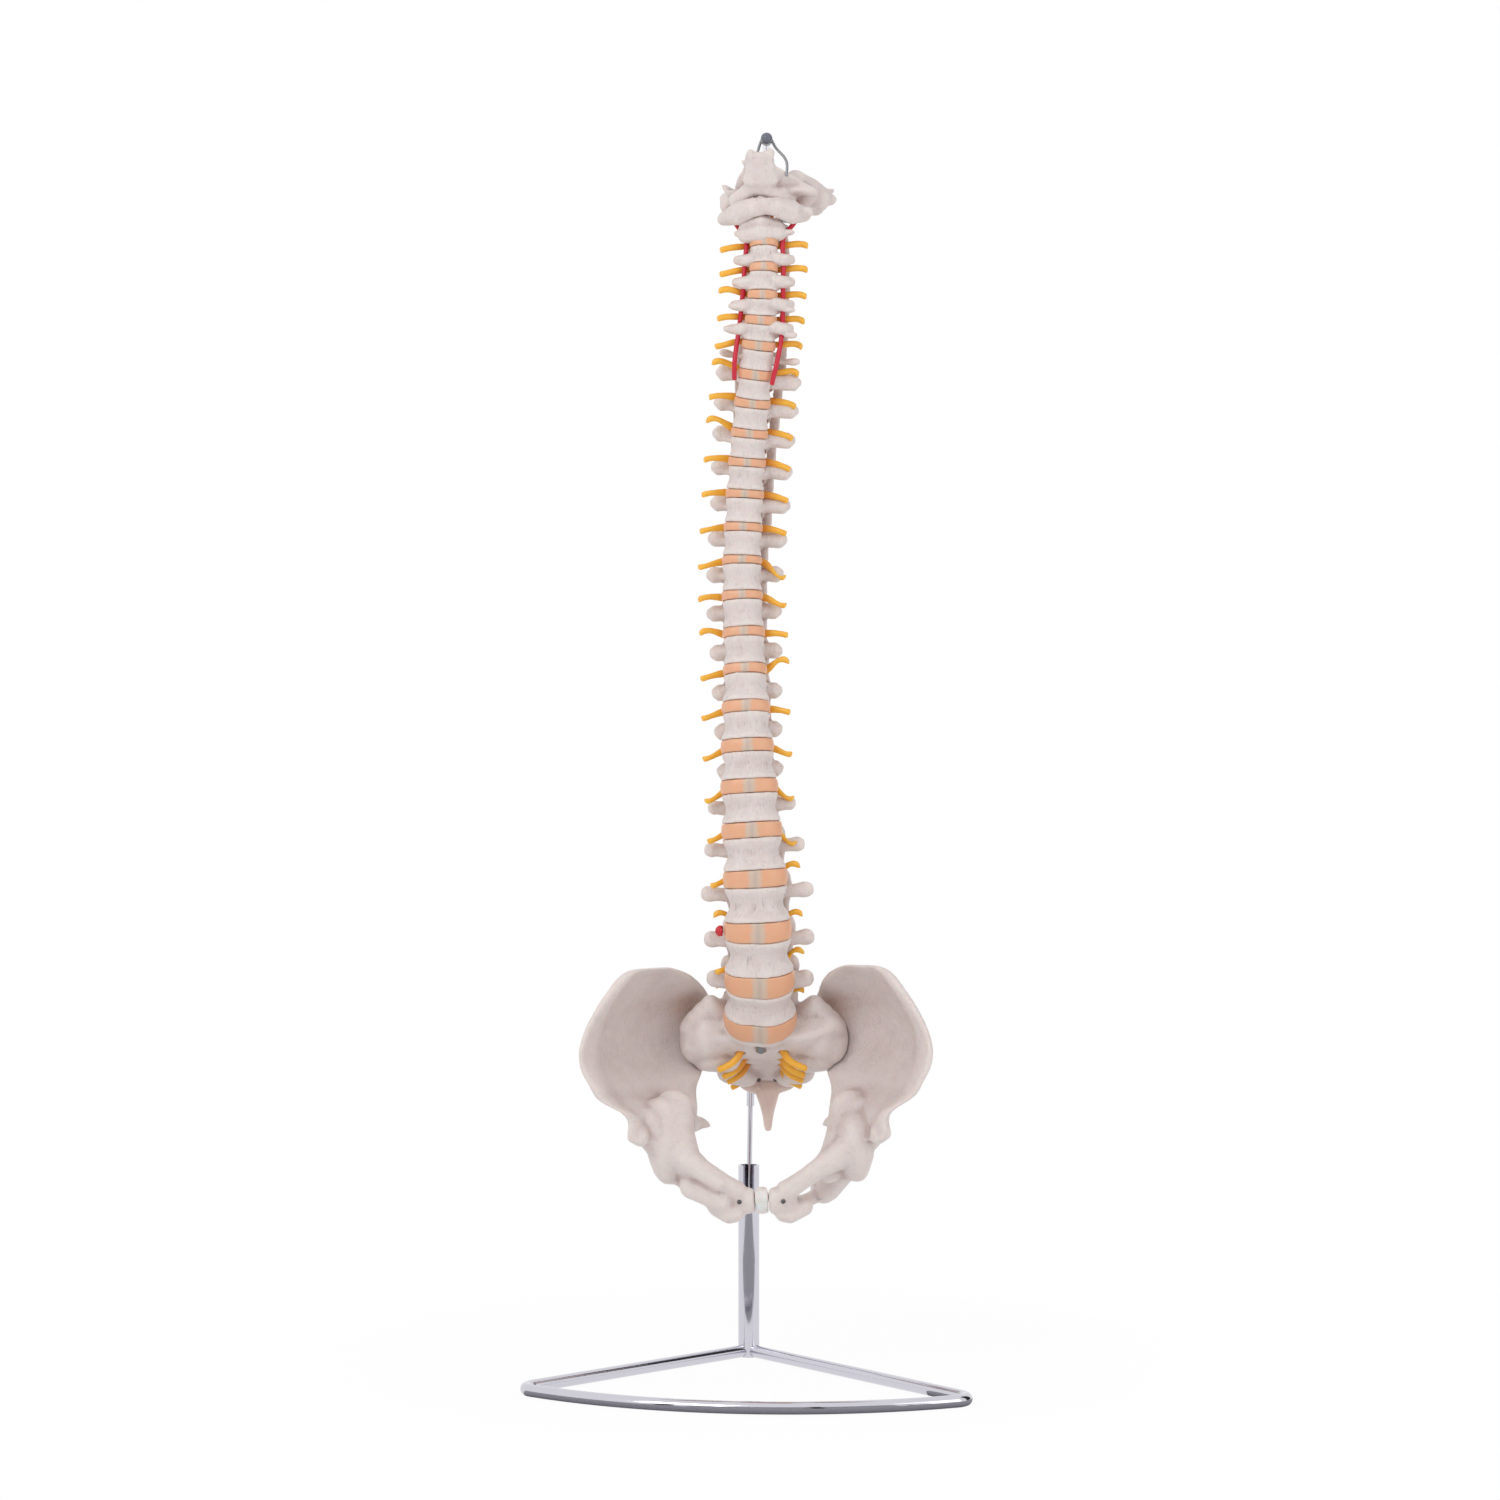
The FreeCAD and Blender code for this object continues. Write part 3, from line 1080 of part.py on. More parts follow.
show_solid("occiput", cut_each(skull_bone(), [loop_way] + artery_ways))
show_solid("c1_atlas", cut_each(atlas_bone(), artery_ways))
show_solid("c2_axis", cut_each(axis_bone(), artery_ways + [cord]))
for level in LEVELS:
    bone = vertebra(level)
    if level[0] == "c":
        bone = cut_each(bone, artery_ways)
    if level in ("c3", "c5", "t6", "t7", "t8", "l5"):
        bone = bone.cut(doc.Objects[-1].Shape)
    if level in ("t2", "t3", "t4", "t5", "l5"):
        bone = bone.cut(cord)
    show_solid(level, bone)
neck_discs = [disc(level) for level in ("c2", "c3", "c4", "c5", "c6", "c7")]
show_solid("discs_neck", Part.makeCompound(neck_discs))
for level in LEVELS[5:]:
    soft = disc(level)
    below = ORDER[ORDER.index(level) + 1]
    if level in ("t10", "t11", "t12", "l4"):
        soft = soft.cut(doc.getObjectsByLabel(below)[0].Shape)
    show_solid(f"disc_{level}_{below}", soft)
show_solid("sacrum", cut_each(sacrum_bone().cut(screws[:2]), [cord]))
show_solid("coccyx", coccyx_bone())
right_hip = hip_bone()
left_hip = right_hip.mirror(V(0, 0, 0), V(1, 0, 0))
show_solid("hip_bone_right", pelvis_frame.place(right_hip).cut(screws[3]))
show_solid("hip_bone_left", pelvis_frame.place(left_hip).cut(screws[2]))
show_solid("pubic_symphysis", symphysis_pad())
show_solid("spinal_cord_with_nerves", cord)
show_solid("vertebral_arteries", Part.makeCompound(arteries))
show_solid("core_cable", core_cable())
show_solid("cable_nut", cable_nut())
show_solid("hanging_loop", loop)
show_solid("small_screws", Part.makeCompound(screws))
nodule_frame = Frame(disc_centre["l3"], ups["l3"], yaw_at("l3"))
disc_edge = -graded("body_wide", "l3") / 2 * 1.035 - 0.1
nodule = Part.makeSphere(size("nodule_diameter") / 2, V(disc_edge - 1.2, 1, 0))
nodule = nodule.common(Part.makeBox(20, 20, 20, V(disc_edge - 20, -10, -10)))
show_solid("disc_nodule", nodule_frame.place(nodule))
make_stand()
show_solid("cable_nut", cable_nut())
show_solid("hanging_loop", loop)

check_and_export()
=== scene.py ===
import math

import bmesh
import bpy
import numpy as np
from mathutils import Matrix, Vector, kdtree, noise


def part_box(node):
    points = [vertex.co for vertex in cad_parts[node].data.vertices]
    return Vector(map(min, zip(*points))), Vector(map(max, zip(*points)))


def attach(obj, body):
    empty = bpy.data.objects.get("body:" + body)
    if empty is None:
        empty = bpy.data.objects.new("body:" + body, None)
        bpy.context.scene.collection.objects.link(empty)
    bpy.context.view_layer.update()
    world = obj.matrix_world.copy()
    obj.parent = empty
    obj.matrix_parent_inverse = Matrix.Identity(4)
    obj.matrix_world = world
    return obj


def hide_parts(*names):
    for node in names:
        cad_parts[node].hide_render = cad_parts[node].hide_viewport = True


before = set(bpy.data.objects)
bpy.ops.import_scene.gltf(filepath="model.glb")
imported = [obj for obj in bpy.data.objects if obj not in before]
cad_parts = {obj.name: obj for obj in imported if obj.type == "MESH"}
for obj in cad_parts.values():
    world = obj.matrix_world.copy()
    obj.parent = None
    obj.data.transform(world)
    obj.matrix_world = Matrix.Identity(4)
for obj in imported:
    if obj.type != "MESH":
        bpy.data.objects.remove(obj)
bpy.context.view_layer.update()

bl_info = {
    "name": "Spine model looks",
    "version": (1, 0, 0),
    "blender": (4, 5, 0),
    "location": "View3D > Sidebar > Spine model",
    "description": "Builds the visual model of the hanging spine around its CAD frame",
    "category": "Object",
}

BODY = "root"
MM = 0.001

NECK = [f"c{n}" for n in range(3, 8)]
CHEST = [f"t{n}" for n in range(1, 13)]
WAIST = [f"l{n}" for n in range(1, 6)]
VERTEBRAE = ["c1_atlas", "c2_axis"] + NECK + CHEST + WAIST
HIPS = ["hip_bone_right", "hip_bone_left"]
DISCS = sorted(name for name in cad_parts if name.startswith("disc") and name != "disc_nodule")

# Colours that aren't settings

# Paler colour that the bone takes on its outward edges
PALE_EDGE = (0.88, 0.80, 0.75)
GROOVE_DARK = (0.30, 0.26, 0.27)
RAW_BONE = (0.80, 0.50, 0.36)
JOINT_DARK = (0.10, 0.07, 0.06)
DISC_CORE = (0.42, 0.38, 0.36)
PAD_PALE, PAD_DEEP = (0.78, 0.76, 0.74), (0.62, 0.58, 0.55)
NODULE_RED, NODULE_DEEP = (0.60, 0.015, 0.03), (0.30, 0.005, 0.02)
NERVE_DEEP = (0.62, 0.16, 0.012)
ARTERY_DEEP = (0.40, 0.006, 0.03)
CABLE_STEEL = (0.42, 0.42, 0.44)
SCREW_STEEL = (0.16, 0.15, 0.15)
DARK_PLASTIC = (0.14, 0.15, 0.185)

# Surfaces: voxel sizes, rounds of smoothing beyond the setting, and reaches of the painted masks

SOFT_VOXEL = 0.7 * MM
FINE_VOXEL = 0.6 * MM
NODULE_VOXEL = 0.5 * MM
HIP_ROUNDS = 12
SACRUM_ROUNDS = 9
OCCIPUT_ROUNDS = 5
HOLLOW_ROUNDS = 28
HOLLOW_REACH = 1.2 * MM
JOINT_LINE = 1.6 * MM
NERVE_REACH = 30 * MM
NERVE_SWELL = 0.45 * MM
DISC_GAP = 5 * MM
CHROME_ROUGHNESS = 0.07


class SpineLooks(bpy.types.PropertyGroup):
    """Sizes and colours of the visual model."""

    vertebra_voxel: bpy.props.FloatProperty(
        name="Vertebra detail", description="Voxel size of the vertebrae's surface",
        default=0.9 * MM, min=0.5 * MM, max=3 * MM, unit="LENGTH", precision=5)
    hip_voxel: bpy.props.FloatProperty(
        name="Pelvis detail", description="Voxel size of the hip bones, sacrum and occipital bone",
        default=1.1 * MM, min=0.5 * MM, max=4 * MM, unit="LENGTH", precision=5)
    smoothing: bpy.props.IntProperty(
        name="Smoothing", description="Rounds of smoothing that blend the bony processes together",
        default=5, min=0, max=30)
    lump_depth: bpy.props.FloatProperty(
        name="Unevenness", description="Depth of the slow unevenness in cast bone",
        default=0.35 * MM, min=0, max=2 * MM, unit="LENGTH", precision=5)
    bone_color: bpy.props.FloatVectorProperty(
        name="Bone", description="Colour of the cast bone", subtype="COLOR",
        default=(0.74, 0.655, 0.635), min=0, max=1)
    # Bone hollows: a darker, warmer colour painted into the hollows as shade; the random blotches and the
    # pores take it too
    bone_shade: bpy.props.FloatVectorProperty(
        name="Bone hollows", description="Warmer colour in the hollows of the bone", subtype="COLOR",
        default=(0.52, 0.40, 0.375), min=0, max=1)
    coccyx_color: bpy.props.FloatVectorProperty(
        name="Coccyx", description="Pinker colour of the coccyx", subtype="COLOR",
        default=(0.80, 0.64, 0.58), min=0, max=1)
    disc_color: bpy.props.FloatVectorProperty(
        name="Disc", description="Colour of the discs' sides", subtype="COLOR",
        default=(0.80, 0.43, 0.26), min=0, max=1)
    disc_clear_color: bpy.props.FloatVectorProperty(
        name="Disc middle", description="Colour of the clear band in the middle of a disc", subtype="COLOR",
        default=(0.66, 0.51, 0.41), min=0, max=1)
    disc_band: bpy.props.FloatProperty(
        name="Clear band", description="Half width of the clear band as a part of half the disc's width",
        default=0.12, min=0, max=1, subtype="FACTOR")
    nerve_color: bpy.props.FloatVectorProperty(
        name="Nerve", description="Colour of the nerve roots", subtype="COLOR",
        default=(0.96, 0.50, 0.05), min=0, max=1)
    artery_color: bpy.props.FloatVectorProperty(
        name="Artery", description="Colour of the vertebral arteries", subtype="COLOR",
        default=(0.58, 0.012, 0.04), min=0, max=1)
    chrome_color: bpy.props.FloatVectorProperty(
        name="Chrome", description="Tint of the stand's chrome", subtype="COLOR",
        default=(0.62, 0.61, 0.67), min=0, max=1)
    strand_count: bpy.props.IntProperty(
        name="Strands", description="Outer strands of the hanging cable", default=6, min=3, max=12)
    strand_pitch: bpy.props.FloatProperty(
        name="Strand pitch", description="Length of one turn of the cable's strands",
        default=9 * MM, min=2 * MM, max=50 * MM, unit="LENGTH")


def looks():
    """Give the scene's settings."""
    return bpy.context.scene.spine_looks


# Shader building

MIX_PART, MIX_FIRST, MIX_SECOND, MIX_RESULT = 0, 6, 7, 2


class Tree:
    """A small helper that adds and links shader nodes."""

    def __init__(self, tree):
        self.tree = tree

    def add(self, kind, **values):
        """Add a node; values named with a capital go to its inputs, others to its properties."""
        node = self.tree.nodes.new(kind)
        for name, value in values.items():
            if name[0].isupper():
                self.feed(value, node.inputs[name.replace("_", " ")])
            else:
                setattr(node, name, value)
        return node

    def feed(self, value, socket):
        """Link a socket or set a plain value."""
        if isinstance(value, bpy.types.NodeSocket):
            self.tree.links.new(value, socket)
        elif isinstance(value, (tuple, list)) and socket.type == "RGBA" and len(value) == 3:
            socket.default_value = (*value, 1)
        else:
            socket.default_value = value

    def math(self, operation, first, second=0.0, clamp=False):
        """Add a math node and give its result."""
        node = self.add("ShaderNodeMath", operation=operation, use_clamp=clamp)
        self.feed(first, node.inputs[0])
        self.feed(second, node.inputs[1])
        return node.outputs[0]

    def mix(self, part, first, second, blend="MIX"):
        """Mix two colours."""
        node = self.add("ShaderNodeMix", data_type="RGBA", blend_type=blend)
        self.feed(part, node.inputs[MIX_PART])
        self.feed(first, node.inputs[MIX_FIRST])
        self.feed(second, node.inputs[MIX_SECOND])
        return node.outputs[MIX_RESULT]

    def range(self, value, low, high, out_low=0.0, out_high=1.0):
        """Map a value smoothly from one range to another."""
        node = self.add("ShaderNodeMapRange", interpolation_type="SMOOTHSTEP")
        for socket, item in zip(node.inputs, (value, low, high, out_low, out_high)):
            self.feed(item, socket)
        return node.outputs[0]

    def place(self, scale=(1, 1, 1)):
        """Give the object's own coordinates, stretched."""
        coords = self.add("ShaderNodeTexCoord").outputs["Object"]
        return self.add("ShaderNodeMapping", Vector=coords, Scale=scale).outputs[0]

    def noise(self, scale, detail=3.0, roughness=0.55, stretch=(1, 1, 1)):
        """Give a noise value in the object's coordinates; the scale is in waves to a metre."""
        node = self.add("ShaderNodeTexNoise", Vector=self.place(stretch), Scale=scale, Detail=detail,
                        Roughness=roughness)
        return node.outputs[0]

    def painted(self, name):
        """Give a value that is painted on the mesh's points."""
        return self.add("ShaderNodeAttribute", attribute_name=name).outputs["Fac"]


def new_group(name, inputs, outputs):
    """Start a shader node group with named sockets."""
    group = bpy.data.node_groups.new(name, "ShaderNodeTree")
    for label, kind, value in inputs:
        socket = group.interface.new_socket(name=label, in_out="INPUT", socket_type=kind)
        socket.default_value = (*value, 1) if isinstance(value, tuple) else value
    for label, kind in outputs:
        group.interface.new_socket(name=label, in_out="OUTPUT", socket_type=kind)
    tree = Tree(group)
    start = tree.add("NodeGroupInput")
    end = tree.add("NodeGroupOutput")
    return group, tree, start.outputs, end.inputs


def bone_group():
    """Cast bone: painted warm shade in the hollows, paler outward edges, fine pores and grooves that run up
    and down.
    """
    if "Cast bone" in bpy.data.node_groups:
        return bpy.data.node_groups["Cast bone"]
    group, tree, given, out = new_group(
        "Cast bone",
        [("Color", "NodeSocketColor", (0.8, 0.7, 0.65)), ("Shade", "NodeSocketColor", (0.6, 0.4, 0.35)),
         ("Groove", "NodeSocketFloat", 1.0), ("Rough Zone", "NodeSocketFloat", 0.0),
         ("Joint", "NodeSocketFloat", 0.0)],
        [("Color", "NodeSocketColor"), ("Roughness", "NodeSocketFloat"), ("Height", "NodeSocketFloat")])
    hollow = tree.painted("hollow")
    deep = tree.range(hollow, 0.5, 0.95)
    edge = tree.range(hollow, 0.46, 0.12)
    blotch = tree.range(tree.noise(55, 4), 0.42, 0.72)
    grooves = tree.noise(760, 3, 0.62, (1, 1, 0.2))
    pores = tree.range(tree.noise(1000, 2, 0.5), 0.6, 0.72)
    zone_noise = tree.noise(420, 5, 0.7)
    # Painted shade: the hollows take the shade colour, and random blotches take a little of it
    shade = tree.math("ADD", tree.math("MULTIPLY", deep, 0.75), tree.math("MULTIPLY", blotch, 0.22), True)
    color = tree.mix(shade, given["Color"], given["Shade"])
    # Paler colour on the outward edges, where the hollow measure is low
    color = tree.mix(tree.math("MULTIPLY", edge, 0.35), color, PALE_EDGE)
    groove_mask = tree.math("MULTIPLY", tree.range(grooves, 0.53, 0.68), given["Groove"])
    waist = tree.math("ADD", tree.math("MULTIPLY", tree.range(hollow, 0.45, 0.75), 0.5), 0.16)
    color = tree.mix(tree.math("MULTIPLY", groove_mask, waist), color, GROOVE_DARK)
    color = tree.mix(tree.math("MULTIPLY", pores, 0.22), color, given["Shade"])
    zone = tree.math("MULTIPLY", given["Rough Zone"], tree.range(zone_noise, 0.3, 0.65, 0.35, 1.0))
    color = tree.mix(tree.math("MULTIPLY", zone, 0.55), color, RAW_BONE)
    color = tree.mix(tree.math("MULTIPLY", given["Joint"], 0.85, True), color, JOINT_DARK)
    tree.feed(color, out["Color"])
    rough = tree.range(blotch, 0, 1, 0.42, 0.55)
    tree.feed(tree.math("ADD", rough, tree.math("MULTIPLY", zone, 0.2)), out["Roughness"])
    height = tree.math("MULTIPLY", grooves, given["Groove"])
    height = tree.math("SUBTRACT", height, tree.math("MULTIPLY", pores, 0.6))
    height = tree.math("ADD", height, tree.math("MULTIPLY", tree.noise(260, 4), 0.8))
    height = tree.math("ADD", height, tree.math("MULTIPLY", zone_noise, tree.math("MULTIPLY", zone, 3.0)))
    tree.feed(height, out["Height"])
    return group


def mould_group():
    """Soft plastic: two colours by a mask, slow mottling and a faint uneven surface."""
    if "Soft moulding" in bpy.data.node_groups:
        return bpy.data.node_groups["Soft moulding"]
    group, tree, given, out = new_group(
        "Soft moulding",
        [("Color", "NodeSocketColor", (0.8, 0.4, 0.2)), ("Second Color", "NodeSocketColor", (0.6, 0.2, 0.1)),
         ("Mask", "NodeSocketFloat", 0.0), ("Mottling", "NodeSocketFloat", 0.2)],
        [("Color", "NodeSocketColor"), ("Roughness", "NodeSocketFloat"), ("Height", "NodeSocketFloat")])
    slow = tree.noise(180, 3)
    fine = tree.noise(1100, 2)
    mottling = tree.math("MULTIPLY", tree.math("SUBTRACT", slow, 0.5), given["Mottling"])
    mask = tree.math("ADD", given["Mask"], mottling, True)
    tree.feed(tree.mix(mask, given["Color"], given["Second Color"]), out["Color"])
    tree.feed(tree.range(slow, 0.3, 0.7, 0.28, 0.42), out["Roughness"])
    tree.feed(tree.math("ADD", slow, tree.math("MULTIPLY", fine, 0.3)), out["Height"])
    return group


def new_material(name):
    """Start a material and give it with its tree and surface shader."""
    material = bpy.data.materials.new(name)
    material.use_nodes = True
    tree = Tree(material.node_tree)
    return material, tree, material.node_tree.nodes["Principled BSDF"]


def bump(tree, height, shader, distance, strength):
    """Feed a height to the surface's normal."""
    node = tree.add("ShaderNodeBump", Height=height, Distance=distance, Strength=strength)
    tree.feed(node.outputs[0], shader.inputs["Normal"])


def add_flesh(shader, weight, depth):
    """Let light into the surface, to a depth."""
    shader.inputs["Subsurface Weight"].default_value = weight
    shader.inputs["Subsurface Scale"].default_value = depth


def bone_material(name, color, shade, groove, rough_zone=False):
    """Make a bone material from the shared group."""
    material, tree, shader = new_material(name)
    grain = tree.add("ShaderNodeGroup", node_tree=bone_group())
    tree.feed(tuple(color), grain.inputs["Color"])
    tree.feed(tuple(shade), grain.inputs["Shade"])
    tree.feed(groove, grain.inputs["Groove"])
    if rough_zone:
        tree.feed(tree.painted("rough_zone"), grain.inputs["Rough Zone"])
        tree.feed(tree.painted("joint"), grain.inputs["Joint"])
    tree.feed(grain.outputs["Color"], shader.inputs["Base Color"])
    tree.feed(grain.outputs["Roughness"], shader.inputs["Roughness"])
    add_flesh(shader, weight=0.12, depth=3 * MM)
    shader.inputs["Specular IOR Level"].default_value = 0.45
    bump(tree, grain.outputs["Height"], shader, distance=0.4 * MM, strength=0.8)
    return material


def soft_material(name, color, second, mottling, flesh, mask=None):
    """Make a soft plastic from the shared group; a painted mask shows the second colour."""
    material, tree, shader = new_material(name)
    mould = tree.add("ShaderNodeGroup", node_tree=mould_group())
    tree.feed(tuple(color), mould.inputs["Color"])
    tree.feed(tuple(second), mould.inputs["Second Color"])
    tree.feed(mottling, mould.inputs["Mottling"])
    if mask:
        tree.feed(tree.painted(mask), mould.inputs["Mask"])
    tree.feed(mould.outputs["Color"], shader.inputs["Base Color"])
    tree.feed(mould.outputs["Roughness"], shader.inputs["Roughness"])
    add_flesh(shader, flesh, depth=4 * MM)
    bump(tree, mould.outputs["Height"], shader, distance=0.2 * MM, strength=0.5)
    return material


def metal_material(name, color, roughness):
    """Make a plain metal with faint smudges."""
    material, tree, shader = new_material(name)
    shader.inputs["Base Color"].default_value = (*color, 1)
    shader.inputs["Metallic"].default_value = 1
    smudge = tree.range(tree.noise(90, 4), 0.35, 0.75, roughness, roughness * 1.8)
    tree.feed(smudge, shader.inputs["Roughness"])
    return material


# Mesh building

def points_of(mesh):
    """Give the mesh's points as an array."""
    co = np.empty(len(mesh.vertices) * 3)
    mesh.vertices.foreach_get("co", co)
    return co.reshape(-1, 3)


def set_points(mesh, points):
    """Write an array of points back to the mesh."""
    mesh.vertices.foreach_set("co", points.ravel())
    mesh.update()


def normals_of(mesh):
    """Give the normals at the mesh's points."""
    normals = np.empty(len(mesh.vertices) * 3)
    mesh.vertex_normals.foreach_get("vector", normals)
    return normals.reshape(-1, 3)


def edges_of(mesh):
    """Give the mesh's edges as pairs of point numbers."""
    pairs = np.empty(len(mesh.edges) * 2, dtype=np.int64)
    mesh.edges.foreach_get("vertices", pairs)
    return pairs.reshape(-1, 2)


def relaxed(points, pairs, rounds, part=0.5):
    """Move each point towards the mean of its neighbours, some rounds."""
    count = len(points)
    ends = np.concatenate([pairs[:, 0], pairs[:, 1]])
    others = np.concatenate([pairs[:, 1], pairs[:, 0]])
    weight = np.maximum(np.bincount(ends, minlength=count), 1)
    for _ in range(rounds):
        mean = np.stack([np.bincount(ends, points[others, axis], count) / weight
                         for axis in range(points.shape[1])], 1)
        points = points + (mean - points) * part
    return points


def paint(mesh, name, values):
    """Store one value for each point."""
    attribute = mesh.attributes.get(name) or mesh.attributes.new(name, "FLOAT", "POINT")
    attribute.data.foreach_set("value", np.asarray(values, dtype=np.float32))


def new_object(name, data):
    """Put a new object in the scene."""
    obj = bpy.data.objects.new(name, data)
    bpy.context.scene.collection.objects.link(obj)
    return obj


def bake(obj):
    """Apply the object's modifiers to its mesh."""
    bpy.context.view_layer.update()
    graph = bpy.context.evaluated_depsgraph_get()
    mesh = bpy.data.meshes.new_from_object(obj.evaluated_get(graph))
    obj.modifiers.clear()
    obj.data = mesh


def limb(path, halves, count):
    """Give balls along a path of points; halves are their half sizes; both in millimetres."""
    spots = np.linspace(0, len(path) - 1, count)
    marks = range(len(path))
    places = np.stack([np.interp(spots, marks, [item[axis] for item in path]) for axis in range(3)], 1)
    sizes = np.stack([np.interp(spots, marks, [item[axis] for item in halves]) for axis in range(3)], 1)
    return list(zip(places, sizes))


def add_balls(obj, balls):
    """Join stretched balls to a mesh, which the even surface then blends with it."""
    shape = bmesh.new()
    shape.from_mesh(obj.data)
    for place, half in balls:
        stretch = Matrix.LocRotScale(Vector(place) * MM, None, Vector(half) * MM)
        bmesh.ops.create_icosphere(shape, subdivisions=3, radius=1, matrix=stretch)
    shape.to_mesh(obj.data)
    shape.free()


def remeshed(node, name, voxel, rounds, balls=(), press=None):
    """Copy a CAD node and rebuild its surface evenly, with its joins and any added forms blended."""
    obj = new_object(name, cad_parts[node].data.copy())
    if press is not None:
        set_points(obj.data, press(points_of(obj.data)))
    if balls:
        add_balls(obj, balls)
    modifier = obj.modifiers.new("Even surface", "REMESH")
    modifier.mode = "VOXEL"
    modifier.voxel_size = voxel
    bake(obj)
    set_points(obj.data, relaxed(points_of(obj.data), edges_of(obj.data), rounds))
    return obj


def lumps(mesh, depth, wide, seed):
    """Press the surface in unevenly, by up to the depth; wide is the width of a lump."""
    points = points_of(mesh)
    normals = normals_of(mesh)
    offset = Vector((seed * 0.37, seed * 0.61, seed * 0.13))
    values = np.array([noise.fractal(Vector(point) / wide + offset, 1.0, 2.0, 3) for point in points])
    press = np.clip(0.5 + values, 0, 1) * depth
    set_points(mesh, points - normals * press[:, None])


def paint_hollows(mesh, reach):
    """Paint how deep each point lies in a hollow: over 0.5 in a hollow and under it on an edge."""
    points = points_of(mesh)
    normals = normals_of(mesh)
    flat = relaxed(points, edges_of(mesh), HOLLOW_ROUNDS)
    rise = ((flat - points) * normals).sum(1) / reach
    rise = relaxed(rise[:, None], edges_of(mesh), 2)[:, 0]
    # The bone material paints shade into the hollows with this, and makes the outward edges paler
    paint(mesh, "hollow", np.clip(0.5 + rise, 0, 1))


def dress(obj, material, replaced):
    """Finish a piece: material, smooth shading, and its place in the model."""
    obj.data.materials.clear()
    obj.data.materials.append(material)
    obj.data.shade_smooth()
    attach(obj, BODY)
    for node in replaced:
        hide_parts(node)
    return obj


def make_bone(node, name, voxel, material, seed=1, lump=12 * MM, zone=None, balls=(),
              press=None, more=0):
    """Make one cast bone from its CAD node and the fuller forms that it has on the real model."""
    obj = remeshed(node, name, voxel, looks().smoothing + more, balls, press)
    lumps(obj.data, looks().lump_depth, lump, seed)
    paint_hollows(obj.data, HOLLOW_REACH)
    if zone is not None:
        paint(obj.data, "rough_zone", zone(points_of(obj.data)))
    return dress(obj, material, [node])


def spine_middle(height):
    """Give the x of the spine's middle at heights, from the vertebrae's own boxes."""
    marks = []
    for node in NECK + CHEST + WAIST:
        low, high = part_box(node)
        marks.append(((low.z + high.z) / 2, (low.x + high.x) / 2))
    marks.sort()
    return np.interp(height, [mark[0] for mark in marks], [mark[1] for mark in marks])


def tip_of(node, side):
    """Give the outermost place of a vertebra on one side, in millimetres."""
    points = points_of(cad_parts[node].data)
    edge = (points[:, 0] * side).max()
    return points[points[:, 0] * side > edge - 3 * MM].mean(0) / MM


def artery_at(side, height):
    """Give the middle of one vertebral artery at a height, in millimetres."""
    points = points_of(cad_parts["vertebral_arteries"].data) / MM
    low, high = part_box("discs_neck")
    middle = (low.x + high.x) / 2 / MM
    near = (np.abs(points[:, 2] - height) < 1.5) & ((points[:, 0] - middle) * side > 0)
    return points[near].mean(0)


# Transverse processes: inset of the tip, distance of the root from the middle, half sizes of both

CHEST_PROCESS = (4.5, 11, [(4.6, 5.4, 6.2), (4.2, 5, 5.4)])
WAIST_PROCESS = (3.8, 17, [(4, 3.2, 4.6), (4.6, 3.6, 5.4)])
LOWEST_PROCESS = (3.8, 17, [(5, 4, 6), (6, 5, 7.6)])
ARTERY_VERTEBRAE = NECK[:4]
ARTERY_PROCESS = [(4, 5, 4.8), (4, 4.6, 4.6), (3, 4, 3.6)]


def vertebra_balls(node):
    """Give the fuller transverse processes of one vertebra."""
    low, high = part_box(node)
    middle = (low.x + high.x) / 2 / MM
    balls = []
    for side in (-1, 1):
        if node in CHEST:
            inset, out, halves = CHEST_PROCESS
            x, y, z = tip_of(node, side)
            balls += limb([(x - inset * side, y, z), (middle + out * side, y - 2, z)], halves, count=5)
        elif node in WAIST:
            inset, out, halves = LOWEST_PROCESS if node == "l5" else WAIST_PROCESS
            x, y, z = tip_of(node, side)
            balls += limb([(x - inset * side, y, z), (middle + out * side, y, z - 1)], halves, count=7)
        elif node in ARTERY_VERTEBRAE:
            x, y, z = artery_at(side, (low.z + high.z) / 2 / MM)
            balls += limb([(x - 6 * side, y - 3, z + 1), (x, y - 2, z), (x + 5.5 * side, y + 2, z + 0.6)],
                          ARTERY_PROCESS, count=6)
    return balls


# Other fuller forms of the neck and skull, as places and half sizes of balls in millimetres

ATLAS_FRONT = ([(-17, -94, 797), (-7, -102, 800), (3, -108, 803), (11.5, -110, 804), (20, -110, 803),
                (29.4, -106, 800), (38, -98, 799)],
               [(5, 5, 5), (7, 6, 8.6), (6, 5, 7.2), (5, 4.6, 6), (6, 5, 7.2), (7, 6, 8.6), (5, 5, 5)])
AXIS_BODY = ([(-2, -102, 785), (8, -106, 786), (20, -103, 786)], [(6, 7, 6), (6, 7, 7), (6, 7, 6)])
AXIS_TOP = ([(-1, -100, 790), (8.5, -104, 793), (19, -101, 790)], [(6.4, 6, 5.6)] * 3)
SKULL_BASE = ([(-8, -98, 809), (0, -104, 815.5), (6, -106, 817), (13, -106, 815.5), (22, -102, 810),
               (28, -97, 809)],
              [(6, 6, 6), (6, 6, 5.5), (6, 6, 5.5), (6, 6, 5.5), (6, 6, 6), (5, 5, 6)])
SKULL_STEM = ([(8, -110, 822), (8, -113, 829), (8, -115, 835)], [(13, 6, 7), (10.5, 4.6, 6), (8.6, 3.4, 4.6)])
SKULL_BUMPS = [((1.2, -115.4, 838.4), (3.2, 3, 4)), ((14.6, -115.4, 838.8), (3.6, 3, 4.2))]
